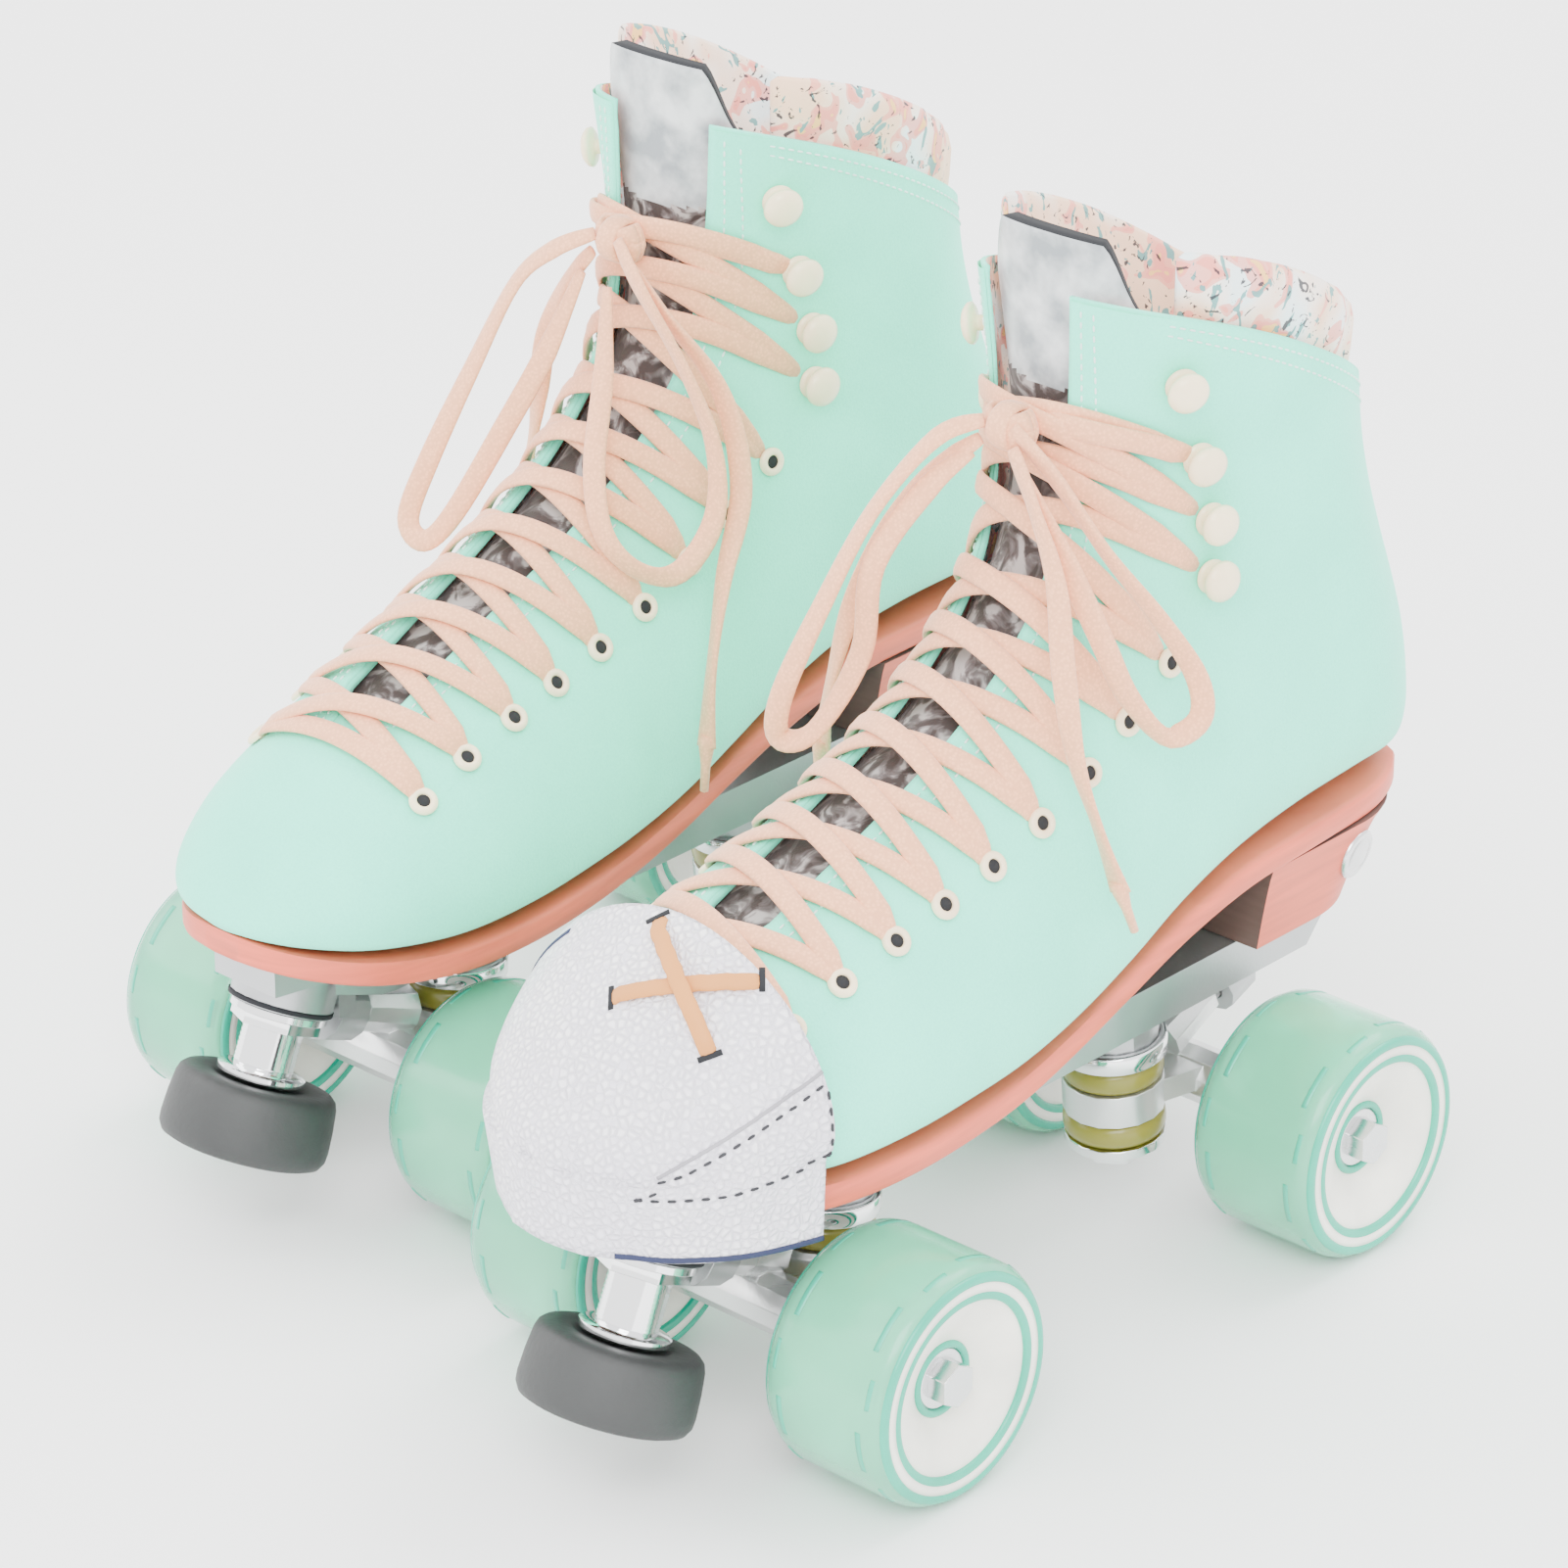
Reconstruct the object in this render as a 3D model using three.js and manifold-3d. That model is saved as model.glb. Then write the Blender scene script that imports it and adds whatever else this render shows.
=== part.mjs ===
// A pair of quad roller skates: high laced boots on cast plates, each with two sprung trucks,
// four wheels and an adjustable toe stop, and a leather toe guard on the left skate.
// Units are millimetres. +Z is up, the toes point to -Y and +X is the wearer's left.
import * as THREE from 'three';
import { mergeVertices } from 'three/addons/utils/BufferGeometryUtils.js';
import Module from 'manifold-3d';

const wasm = await Module();
wasm.setup();

// ---------------------------------------------------------------- driving dimensions
const PAIR_SPACING = 155;        // between the two skates' centre planes
const STAGGER = 28;              // how far the left skate stands ahead of the right one
const GAP = 0.3;                 // clearance between pieces that meet

const WHEEL_RADIUS = 31;
const WHEEL_WIDTH = 37;
const WHEEL_LIP = 4;             // slanted edge of the tread
const WHEEL_SIDES = 16;          // flat facets round a wheel, one of them on the floor
const CORE_RADIUS = 23;          // outside of the wheel's rigid core
const RECESS_RADIUS = 18.5;      // dished seat of the bearing and the nut
const RECESS_DEPTH = 8;
const WHEELBASE = 160;
const TRACK = 98;                // between the middles of a pair of wheels
const AXLE_RADIUS = 4;
const AXLE_NUT_RADIUS = 5.8;
const AXLE_NUT_LENGTH = 6;

const PLATE_TOP = 72;
const PLATE_HALF_WIDTH = 19;
const PLATE_SKIN = 4;            // thickness of the plate's deck
const PLATE_DEPTH = 12;          // deck and side rails together
const PLATE_REAR_Y = 118;
const PLATE_FRONT_Y = -128;
const PLATE_NOSE_HALF_WIDTH = 11;
const PLATE_TAPER_Y = -94;       // where the nose starts to narrow
const RAIL_THICKNESS = 4;

const KINGPIN_Y = 56;            // both kingpins stand inboard of their axles
const KINGPIN_TILT = 5 * Math.PI / 180;
const KINGPIN_RADIUS = 4.75;
const RING_Z = 33;               // middle of the hanger's ring on the kingpin
const RING_THICKNESS = 9;
const CUSHION_RADIUS = 13.2;
const CUSHION_HEIGHT = 6.5;
const CUP_HEIGHT = 5;
const PIVOT_Y = 98;
const PIVOT_Z = 50;
const PIVOT_RADIUS = 4.5;

const STOP_TILT = 24 * Math.PI / 180;
const STOP_BOSS_Y = -116.44;     // centre of the boss's lower face
const STOP_BOSS_Z = 58;
const STOP_BOSS_RADIUS = 13.5;
const STOP_STEM_RADIUS = 7.9;
const STOP_NUT_HEIGHT = 5;
const STOP_NUT_RADIUS = 12;
const STOP_PAD_RADIUS = 22;
const STOP_PAD_HEIGHT = 19;
const STOP_REACH = { left: 21.8, right: 19.8 };   // from the boss down to the pad
const STOP_STEM_RISE = 9;       // how far the stem stands up inside the boss
const STOP_BORE_RISE = 12;

const SOLE_THICKNESS = 7;
const HEEL_BREAST_Y = 80;
const WALL = 3;                  // boot leather and its lining
const TONGUE_THICKNESS = 5;
const LINING_THICKNESS = 5;
const RING_POINTS = 16;          // points round a boot section
const TOP_RIB = 23;              // the collar's cut edge
const LINING_RIB = 24;           // top of the padded lining and of the tongue

const THROAT_START = 5.4;        // rib where the lacing slot begins
const THROAT_HALF_LOW = 9;
const THROAT_HALF_HIGH = { inner: 20, outer: 10 };   // at the collar, towards each side of the foot
const EYELET_X = 29;
const EYELET_RIBS = [5.05, 6, 7, 7.9, 8.8, 9.75, 10.75, 11.7, 12.9];
const HOOK_RIBS = [15.2, 17, 19];
const LACE_WIDTH = 6;
const LACE_THICKNESS = 2.2;
const LACE_RISE = 3.6;           // middle of the lower lace above the boot's surface

const GUARD_THICKNESS = 2.2;
const GUARD_BACK_Y = -101;
const GUARD_BOTTOM_Z = 70;
const GUARD_WALL_TOP = 96;       // where the upright wall runs into the cap
const GUARD_OVER_LACES = 10;     // extra room over the lowest laces
const GUARD_SOLE_GAP = 2.5;

// Boot ribs from the toe over the instep to the collar. Each rib is a plane section:
// foot (y, z) on the feather line or the back seam, crest (y, z) on the vamp or the shaft's
// front, half width, place of the widest level, fullness below and above it, shift of the
// middle towards the outside of the foot, and how far the rib bows out of its plane.
const RIBS = [
  { foot: [-140, 90], crest: [-141, 92.5], half: 5, level: 0.45, low: 2, high: 2, shift: -6 },
  { foot: [-137.5, 89.2], crest: [-139.5, 96], half: 15.5, level: 0.4, low: 2.4, high: 2, shift: -6 },
  { foot: [-131, 87.2], crest: [-134.5, 101], half: 25, level: 0.35, low: 2.8, high: 2, shift: -5.5 },
  { foot: [-120, 84.6], crest: [-125, 109], half: 34, level: 0.3, low: 3.2, high: 2, shift: -5 },
  { foot: [-105, 82], crest: [-112, 118.5], half: 40.5, level: 0.28, low: 3.4, high: 1.95, shift: -4 },
  { foot: [-88, 80.2], crest: [-98, 126.5], half: 44, level: 0.26, low: 3.5, high: 1.9, shift: -3 },
  { foot: [-66, 79.6], crest: [-82, 134.8], half: 45, level: 0.25, low: 3.5, high: 1.85, shift: -2 },
  { foot: [-44, 79.6], crest: [-66, 142.2], half: 44, level: 0.25, low: 3.4, high: 1.8, shift: -1 },
  { foot: [-22, 80.2], crest: [-50, 149.8], half: 42, level: 0.25, low: 3.3, high: 1.8, shift: 0 },
  { foot: [0, 83.5], crest: [-34, 157.8], half: 40, level: 0.25, low: 3.2, high: 1.8, shift: 0.5 },
  { foot: [22, 89.5], crest: [-19, 166.3], half: 38, level: 0.25, low: 3.1, high: 1.85, shift: 1 },
  { foot: [45, 97], crest: [-6, 175.8], half: 36.5, level: 0.26, low: 3, high: 1.9, shift: 1 },
  { foot: [70, 102.6], crest: [4.5, 186], half: 35.5, level: 0.28, low: 3, high: 2, shift: 1 },
  { foot: [98, 104.2], crest: [11.5, 196.5], half: 34.5, level: 0.3, low: 2.9, high: 2.1, shift: 0.5 },
  { foot: [126, 103.6], crest: [15.5, 206], half: 34, level: 0.32, low: 2.7, high: 2.3, shift: 0 },
  { foot: [145, 103.2], crest: [17.5, 213.5], half: 33.5, level: 0.34, low: 2.5, high: 2.4, shift: 0 },
  { foot: [152.5, 109], crest: [18.3, 220], half: 33.5, level: 0.36, low: 2.3, high: 2.5, shift: 0 },
  { foot: [153.5, 121], crest: [18.8, 226], half: 33.5, level: 0.38, low: 2.2, high: 2.5, shift: 0 },
  { foot: [151, 135], crest: [19, 231.5], half: 33.5, level: 0.4, low: 2.2, high: 2.5, shift: 0 },
  { foot: [146, 149], crest: [19.2, 237], half: 34, level: 0.42, low: 2.2, high: 2.5, shift: 0 },
  { foot: [139, 165], crest: [19.3, 243], half: 34.5, level: 0.44, low: 2.2, high: 2.5, shift: 0, bow: 1 },
  { foot: [132, 181], crest: [19.3, 249], half: 35.5, level: 0.46, low: 2.2, high: 2.5, shift: 0, bow: 2.5 },
  { foot: [127, 196], crest: [19.2, 255.5], half: 36.5, level: 0.48, low: 2.2, high: 2.5, shift: 0, bow: 4 },
  { foot: [124, 211], crest: [19, 262], half: 37.5, level: 0.5, low: 2.2, high: 2.5, shift: 0, bow: 6 },
  { foot: [122.5, 223], crest: [18, 275], half: 38, level: 0.5, low: 2.2, high: 2.5, shift: 0, bow: 7 },
];
// Half widths of the sole's outline under ribs 0 to 16, and the heel seat's end.
const SOLE_HALF = [6, 15.5, 24.5, 33, 38.5, 41.5, 42, 40, 36.5, 33.5, 31.5, 31, 31, 31, 28, 18.5, 7];

// ---------------------------------------------------------------- solids and meshes
const V = (x, y, z) => new THREE.Vector3(x, y, z);

function toSolid(geometry) {
  const bare = geometry.clone();
  bare.deleteAttribute('normal');
  bare.deleteAttribute('uv');
  const merged = mergeVertices(bare, 1e-4);
  return new wasm.Manifold(new wasm.Mesh({
    numProp: 3,
    vertProperties: new Float32Array(merged.attributes.position.array),
    triVerts: new Uint32Array(merged.index.array),
  }));
}

function toGeometry(solid) {
  const mesh = solid.getMesh();
  const geometry = new THREE.BufferGeometry();
  geometry.setAttribute('position', new THREE.Float32BufferAttribute(mesh.vertProperties, 3));
  geometry.setIndex(new THREE.Uint32BufferAttribute(mesh.triVerts, 1));
  return geometry;
}

function unite(solids) {
  return solids.reduce((whole, solid) => whole.add(solid));
}

// Closed surface through rings of equal length. Its ends are closed by fans round their
// middles, or, for a thin band whose second half runs back along the first, straight across.
function loft(rings, thin = false) {
  const count = rings[0].length;
  const points = rings.flat();
  const index = [];
  for (let i = 0; i + 1 < rings.length; i += 1) {
    const next = i + 1;
    for (let j = 0; j < count; j += 1) {
      const k = (j + 1) % count;
      const [a, b, c, d] = [i * count + j, i * count + k, next * count + k, next * count + j];
      if (points[a].distanceTo(points[c]) <= points[b].distanceTo(points[d])) index.push(a, b, c, a, c, d);
      else index.push(a, b, d, b, c, d);
    }
  }
  for (const [start, turn] of [[0, 1], [(rings.length - 1) * count, -1]]) {
    if (thin) capAcross(index, start, count, turn);
    else capFan(points, index, start, count, turn);
  }
  const geometry = new THREE.BufferGeometry();
  geometry.setAttribute('position', new THREE.Float32BufferAttribute(points.flatMap((p) => p.toArray()), 3));
  geometry.setIndex(index);
  return outward(geometry);
}

function capFan(points, index, start, count, turn) {
  const middle = points.length;
  const centre = V(0, 0, 0);
  for (let j = 0; j < count; j += 1) centre.add(points[start + j]);
  points.push(centre.divideScalar(count));
  for (let j = 0; j < count; j += 1) {
    const pair = [start + (j + 1) % count, start + j];
    index.push(middle, ...(turn > 0 ? pair : pair.reverse()));
  }
}

function capAcross(index, start, count, turn) {
  for (let j = 0; j + 1 < count / 2; j += 1) {
    const [a, b, c, d] = [start + j, start + j + 1, start + count - 2 - j, start + count - 1 - j];
    index.push(...(turn > 0 ? [a, c, b, a, d, c] : [a, b, c, a, c, d]));
  }
}

// Turns every face of a closed surface outwards when its signed volume is negative.
function outward(geometry) {
  const p = geometry.attributes.position;
  const index = geometry.index.array;
  const [a, b, c] = [V(), V(), V()];
  let volume = 0;
  for (let i = 0; i < index.length; i += 3) {
    a.fromBufferAttribute(p, index[i]);
    b.fromBufferAttribute(p, index[i + 1]);
    c.fromBufferAttribute(p, index[i + 2]);
    volume += a.dot(b.cross(c));
  }
  if (volume < 0) {
    for (let i = 0; i < index.length; i += 3) {
      [index[i + 1], index[i + 2]] = [index[i + 2], index[i + 1]];
    }
  }
  return geometry;
}

function lathe(profile, sides = 24) {
  const closed = [...profile, profile[0]].map(([r, h]) => new THREE.Vector2(r, h));
  return outward(mergedPositions(new THREE.LatheGeometry(closed, sides)));
}

function mergedPositions(geometry) {
  geometry.deleteAttribute('normal');
  geometry.deleteAttribute('uv');
  const merged = mergeVertices(geometry, 1e-4);
  const index = [];
  const old = merged.index.array;
  for (let i = 0; i < old.length; i += 3) {
    const [a, b, c] = [old[i], old[i + 1], old[i + 2]];
    if (a !== b && b !== c && a !== c) index.push(a, b, c);
  }
  merged.setIndex(index);
  return merged;
}

// Lathe geometry turns about Y; this lays that axis along a direction from a start point.
function along(geometry, start, direction) {
  const turn = new THREE.Quaternion().setFromUnitVectors(V(0, 1, 0), direction.clone().normalize());
  return geometry.applyQuaternion(turn).translate(start.x, start.y, start.z);
}

function rod(start, end, radius, sides = 12, endRadius = radius) {
  const length = start.distanceTo(end);
  const body = lathe([[0, 0], [radius, 0], [endRadius, length], [0, length]], sides);
  return along(body, start, end.clone().sub(start));
}

function block(low, high) {
  const size = V(...high).sub(V(...low));
  const middle = V(...low).addScaledVector(size, 0.5);
  return new THREE.BoxGeometry(size.x, size.y, size.z).translate(middle.x, middle.y, middle.z);
}

// Side profile of (y, z) points drawn out across X from -half to half.
function across(profile, half) {
  const shape = new THREE.Shape(profile.map(([y, z]) => new THREE.Vector2(y, z)));
  const geometry = new THREE.ExtrudeGeometry(shape, { depth: 2 * half, bevelEnabled: false });
  geometry.applyMatrix4(new THREE.Matrix4().set(0, 0, 1, -half, 1, 0, 0, 0, 0, 1, 0, 0, 0, 0, 0, 1));
  return mergedPositions(geometry);
}

// ---------------------------------------------------------------- boot surface
function cubic(a, b, c, d, t) {
  return b + 0.5 * t * (c - a + t * (2 * a - 5 * b + 4 * c - d + t * (3 * (b - c) + d - a)));
}

function ribAt(u) {
  const last = RIBS.length - 1;
  const i = Math.min(Math.max(Math.floor(u), 0), last - 1);
  const four = [i - 1, i, i + 1, i + 2].map((k) => RIBS[Math.min(Math.max(k, 0), last)]);
  const mix = (pick) => cubic(...four.map(pick), u - i);
  return {
    foot: [mix((r) => r.foot[0]), mix((r) => r.foot[1])],
    crest: [mix((r) => r.crest[0]), mix((r) => r.crest[1])],
    half: mix((r) => r.half),
    level: mix((r) => r.level),
    low: mix((r) => r.low),
    high: mix((r) => r.high),
    shift: mix((r) => r.shift),
    bow: mix((r) => r.bow ?? 0),
  };
}

// Point of the boot's outer skin. Angle 0 is the foot of the rib, pi its crest, and
// positive angles are on the outside of the foot.
function skin(u, angle) {
  const rib = ribAt(u);
  const cos = Math.cos(angle);
  const sin = Math.sin(angle);
  const power = 2 / (cos > 0 ? rib.low : rib.high);
  const rise = Math.abs(cos) ** power;
  const s = cos > 0 ? rib.level * (1 - rise) : rib.level + (1 - rib.level) * rise;
  const x = rib.half * Math.sign(sin) * Math.abs(sin) ** power;
  const [dy, dz] = [rib.crest[0] - rib.foot[0], rib.crest[1] - rib.foot[1]];
  const length = Math.hypot(dy, dz);
  const lift = rib.bow * 4 * s * (1 - s);
  return V(x + rib.shift, rib.foot[0] + dy * s + lift * dz / length, rib.foot[1] + dz * s - lift * dy / length);
}

// The skin moved along its normal by a distance, inwards when it is negative.
function skinAt(u, angle, offset) {
  const step = 0.02;
  const point = skin(u, angle);
  const du = skin(Math.min(u + step, LINING_RIB), angle).sub(skin(Math.max(u - step, 0), angle));
  const da = skin(u, angle + step).sub(skin(u, angle - step));
  return point.addScaledVector(du.cross(da).normalize(), offset);
}

// Angle on the crest side of a rib where the skin is x away from its middle.
function crestAngle(u, x) {
  const rib = ribAt(u);
  const part = Math.min(Math.abs(x) / rib.half, 1) ** (rib.high / 2);
  return Math.sign(x) * (Math.PI - Math.asin(part));
}

function skinRing(u, offset) {
  return Array.from({ length: RING_POINTS }, (_, k) => skinAt(u, 2 * Math.PI * k / RING_POINTS, offset));
}

function ribRange(first, last) {
  return Array.from({ length: last - first + 1 }, (_, k) => first + k);
}

// Ribs that the boot's shells are built on; every shell uses the same ones, so that their
// facets stay parallel and their clearances hold.
const BUILD_RIBS = [0, 1, 2, 3, 4, 6, 8, 10, 12, 14, 15, 16, 18, 20, 22, TOP_RIB, LINING_RIB];

function buildRibs(first, last) {
  return BUILD_RIBS.filter((u) => u >= first && u <= last);
}

// ---------------------------------------------------------------- boot
function throatCutter() {
  const rings = buildRibs(4, LINING_RIB).map((u) => {
    const start = Math.max(u, THROAT_START);
    const part = (start - THROAT_START) / (LINING_RIB - THROAT_START);
    const widening = (high) => THROAT_HALF_LOW + (high - THROAT_HALF_LOW) * part;
    const middle = ribAt(start).shift;
    const left = middle - widening(THROAT_HALF_HIGH.inner);
    const right = middle + widening(THROAT_HALF_HIGH.outer);
    const outer = skinAt(start, Math.PI, 8);
    const inner = skinAt(start, Math.PI, -11);
    return [V(left, outer.y, outer.z), V(right, outer.y, outer.z),
      V(right, inner.y, inner.z), V(left, inner.y, inner.z)];
  });
  return toSolid(loft(rings));
}

function bootUpper() {
  const outer = buildRibs(0, TOP_RIB).map((u) => skinRing(u, 0));
  const inner = buildRibs(2, TOP_RIB).map((u) => skinRing(u, -WALL));
  const shell = loft([...outer, ...inner.reverse()]);
  return toGeometry(toSolid(shell).subtract(throatCutter()));
}

// Band of the boot's skin between two offsets, over some ribs and angles.
function skinBand(ribs, angles, high, low) {
  return loft(ribs.map((u) => {
    const [outer, inner] = [high, low].map((f) => angles.map((a) => skinAt(u, a, f(u))));
    return [...outer, ...inner.reverse()];
  }), true);
}

function tongue() {
  const step = 2 * Math.PI / RING_POINTS;
  const angles = [-2, -1, 0, 1, 2].map((k) => Math.PI + k * step);
  const top = -(WALL + 2 * GAP);
  return skinBand(buildRibs(4, LINING_RIB), angles, () => top, () => top - TONGUE_THICKNESS);
}

function collarLining() {
  const step = 2 * Math.PI / RING_POINTS;
  const angles = ribRange(-5, 5).map((k) => k * step);
  const top = -(WALL + 2 * GAP);
  return skinBand(buildRibs(20, LINING_RIB), angles, () => top, () => top - LINING_THICKNESS);
}

function footbed() {
  const gap = WALL + GAP + 0.1;
  const inside = toSolid(loft(buildRibs(3, 16).map((u) => skinRing(u, -gap))));
  const floor = buildRibs(3, 15).map((u) => ribAt(u).foot);
  const profile = [...floor.map(([y, z]) => [y, z - 5]), [160, 98],
    [160, 112], ...floor.reverse().map(([y, z]) => [y, z + 8])];
  return toGeometry(inside.intersect(toSolid(across(profile, 60))));
}

function solePoint(k) {
  const [y, z] = RIBS[k].foot;
  return k === 16 ? [151.5, RIBS[15].foot[1]] : [y, z];
}

function outsole() {
  return loft(buildRibs(0, 16).map((k) => {
    const half = SOLE_HALF[k];
    const [y, z] = solePoint(k);
    const x = RIBS[Math.min(k, 15)].shift;
    return [V(x - half, y, z - GAP), V(x + half, y, z - GAP),
      V(x + half - 0.8, y, z - GAP - SOLE_THICKNESS), V(x - half + 0.8, y, z - GAP - SOLE_THICKNESS)];
  }));
}

function soleUnderside(y) {
  const points = buildRibs(0, 16).map(solePoint);
  const i = Math.max(1, points.findIndex(([py]) => py >= y));
  const [[y0, z0], [y1, z1]] = [points[i - 1], points[i]];
  return z0 + (z1 - z0) * (y - y0) / (y1 - y0) - GAP - SOLE_THICKNESS;
}

function heel() {
  const outline = (halfWidth, back) => {
    const round = ribRange(0, 8).map((k) => {
      const angle = Math.PI * (k / 8 - 0.5);
      return [halfWidth * -Math.sin(angle), back - halfWidth * 1.1 + halfWidth * 1.1 * Math.cos(angle)];
    });
    return [[halfWidth, HEEL_BREAST_Y], ...round, [-halfWidth, HEEL_BREAST_Y]];
  };
  const top = outline(30.5, 148).map(([x, y]) => V(x, y, soleUnderside(y) - GAP));
  const bottom = outline(26, 133).map(([x, y]) => V(x, y, PLATE_TOP + GAP));
  return loft([top, bottom]);
}

// ---------------------------------------------------------------- laces
// Flat strip along points, lying square to a normal at each of them.
function strip(points, normals, width = LACE_WIDTH, thickness = LACE_THICKNESS) {
  return loft(points.map((p, k) => {
    const ahead = points[Math.min(k + 1, points.length - 1)].clone().sub(points[Math.max(k - 1, 0)]);
    const side = ahead.cross(normals[k]).normalize().multiplyScalar(width / 2);
    const up = normals[k].clone().multiplyScalar(thickness / 2);
    return [[-1, -1], [1, -1], [1, 1], [-1, 1]].map(([i, j]) => (
      p.clone().addScaledVector(side, i).addScaledVector(up, j)));
  }));
}

// Lace lying on the skin through posts given as [rib, x], one run from post to post.
function laidLace(posts, rise) {
  const steps = 5;
  const points = [];
  const normals = [];
  const around = posts.map(([u, x]) => (crestAngle(u, x) + 2 * Math.PI) % (2 * Math.PI));
  for (let k = 0; k <= (posts.length - 1) * steps; k += 1) {
    const i = Math.min(Math.floor(k / steps), posts.length - 2);
    const t = k / steps - i;
    const u = posts[i][0] + (posts[i + 1][0] - posts[i][0]) * t;
    const angle = around[i] + (around[i + 1] - around[i]) * t;
    points.push(skinAt(u, angle, rise));
    normals.push(skinAt(u, angle, 1).sub(skinAt(u, angle, 0)));
  }
  return strip(points, normals);
}

// Hand-set routes of the loose stretches: a loop and an end fall from the knot on each side.
const KNOT = [0, 11, 229];
const KNOT_RIB = 17.6;
const KNOT_RADIUS = 6.5;
const ROUTES = {
  left: {
    loop_to_right: [[-4, 6, 231], [-13, -1, 226], [-23, -12, 208], [-31, -21, 184], [-37, -29, 161],
      [-37, -30, 150], [-30, -25, 152], [-24, -15, 171], [-21, -14, 195], [-13, -4, 214], [-6, 4, 223]],
    loop_to_left: [[4, 7, 231], [16, 10, 219], [28, 14, 203], [39, 21, 187], [46, 27, 172],
      [48, 26, 162], [44, 18, 159], [38, 11, 170], [33, 7, 184], [23, 5, 202], [9, 5, 221]],
    end_to_right: [[-5, 6, 226], [-16, -1, 215], [-26, -5, 197], [-34, -8, 176], [-40, -8, 156], [-45, -6, 136]],
    end_to_left: [[5, 6, 226], [14, 3, 215], [24, 0, 199], [32, -6, 180], [38, -8, 160], [43, -5, 142],
      [46, 0, 125]],
  },
  right: {
    loop_to_right: [[-4, 6, 231], [-13, 0, 226], [-22, -5, 216], [-30, -14, 192], [-37, -23, 168],
      [-39, -29, 153], [-32, -30, 149], [-26, -25, 157], [-19, -13, 179], [-13, -3, 199], [-6, 3, 221]],
    loop_to_left: [[4, 6, 231], [14, 3, 222], [26, 6, 203], [35, 8, 183], [39, 4, 165], [37, -7, 153],
      [30, -15, 154], [22, -19, 163], [14, -14, 177], [7, -3, 197], [3, 3, 219]],
    end_to_right: [[-5, 6, 226], [-15, 6, 214], [-25, 9, 197], [-32, 13, 178], [-38, 16, 160], [-42, 16, 142]],
    end_to_left: [[5, 7, 226], [18, 8, 214], [32, 14, 195], [41, 12, 172], [44, 2, 150], [47, -6, 128],
      [48, -9, 108]],
  },
};

function looseLace(route) {
  const curve = new THREE.CatmullRomCurve3(route.map((p) => V(...p)), false, 'centripetal');
  const section = new THREE.Shape(ribRange(0, 7).map((k) => {
    const angle = 2 * Math.PI * k / 8;
    return new THREE.Vector2(1.6 * Math.cos(angle), 2.2 * Math.sin(angle));
  }));
  const steps = Math.ceil(curve.getLength() / 16);
  const settings = { steps, bevelEnabled: false, extrudePath: curve };
  return toSolid(mergedPositions(new THREE.ExtrudeGeometry(section, settings)));
}

function lace(name, side) {
  const handed = (geometry) => toSolid(side > 0 ? geometry : mirrored(geometry));
  const posts = [...EYELET_RIBS, ...HOOK_RIBS];
  const parts = [handed(laidLace([[posts[0], -EYELET_X], [posts[0], EYELET_X]], LACE_RISE))];
  for (const first of [-1, 1]) {
    const zigzag = posts.map((u, k) => [u, EYELET_X * first * (-1) ** k]);
    const end = [KNOT_RIB, 2 * first * (-1) ** (posts.length - 1)];
    const rise = LACE_RISE + (first > 0 ? LACE_THICKNESS + 2 * GAP : 0);
    parts.push(handed(laidLace([...zigzag, end], rise)));
  }
  const knot = new THREE.SphereGeometry(KNOT_RADIUS, 10, 6).scale(1.2, 1, 0.9).translate(...KNOT);
  parts.push(toSolid(knot));
  for (const route of Object.values(ROUTES[name])) parts.push(looseLace(route));
  return toGeometry(unite(parts));
}

// ---------------------------------------------------------------- plate, trucks and wheels
const stopAxis = V(0, -Math.sin(STOP_TILT), -Math.cos(STOP_TILT));
const stopPoint = (distance) => V(0, STOP_BOSS_Y, STOP_BOSS_Z).addScaledVector(stopAxis, distance);

// A truck's own frame: end is -1 at the front and 1 at the rear.
function truckFrame(end) {
  const ring = V(0, end * KINGPIN_Y, RING_Z);
  const pivot = V(0, end * PIVOT_Y, PIVOT_Z);
  const kingpin = V(0, -end * Math.sin(KINGPIN_TILT), Math.cos(KINGPIN_TILT));
  return { end, ring, pivot, kingpin, lean: pivot.clone().sub(ring).normalize() };
}

function stackPoint(truck, height) {
  return truck.ring.clone().addScaledVector(truck.kingpin, height);
}

const RING_TOP = RING_THICKNESS / 2;
const UPPER_CUSHION = RING_TOP + GAP;
const CUP_BOTTOM = UPPER_CUSHION + CUSHION_HEIGHT + GAP;
const LOWER_CUSHION = -RING_TOP - GAP - CUSHION_HEIGHT;
const KINGPIN_HEAD = LOWER_CUSHION - GAP;

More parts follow.
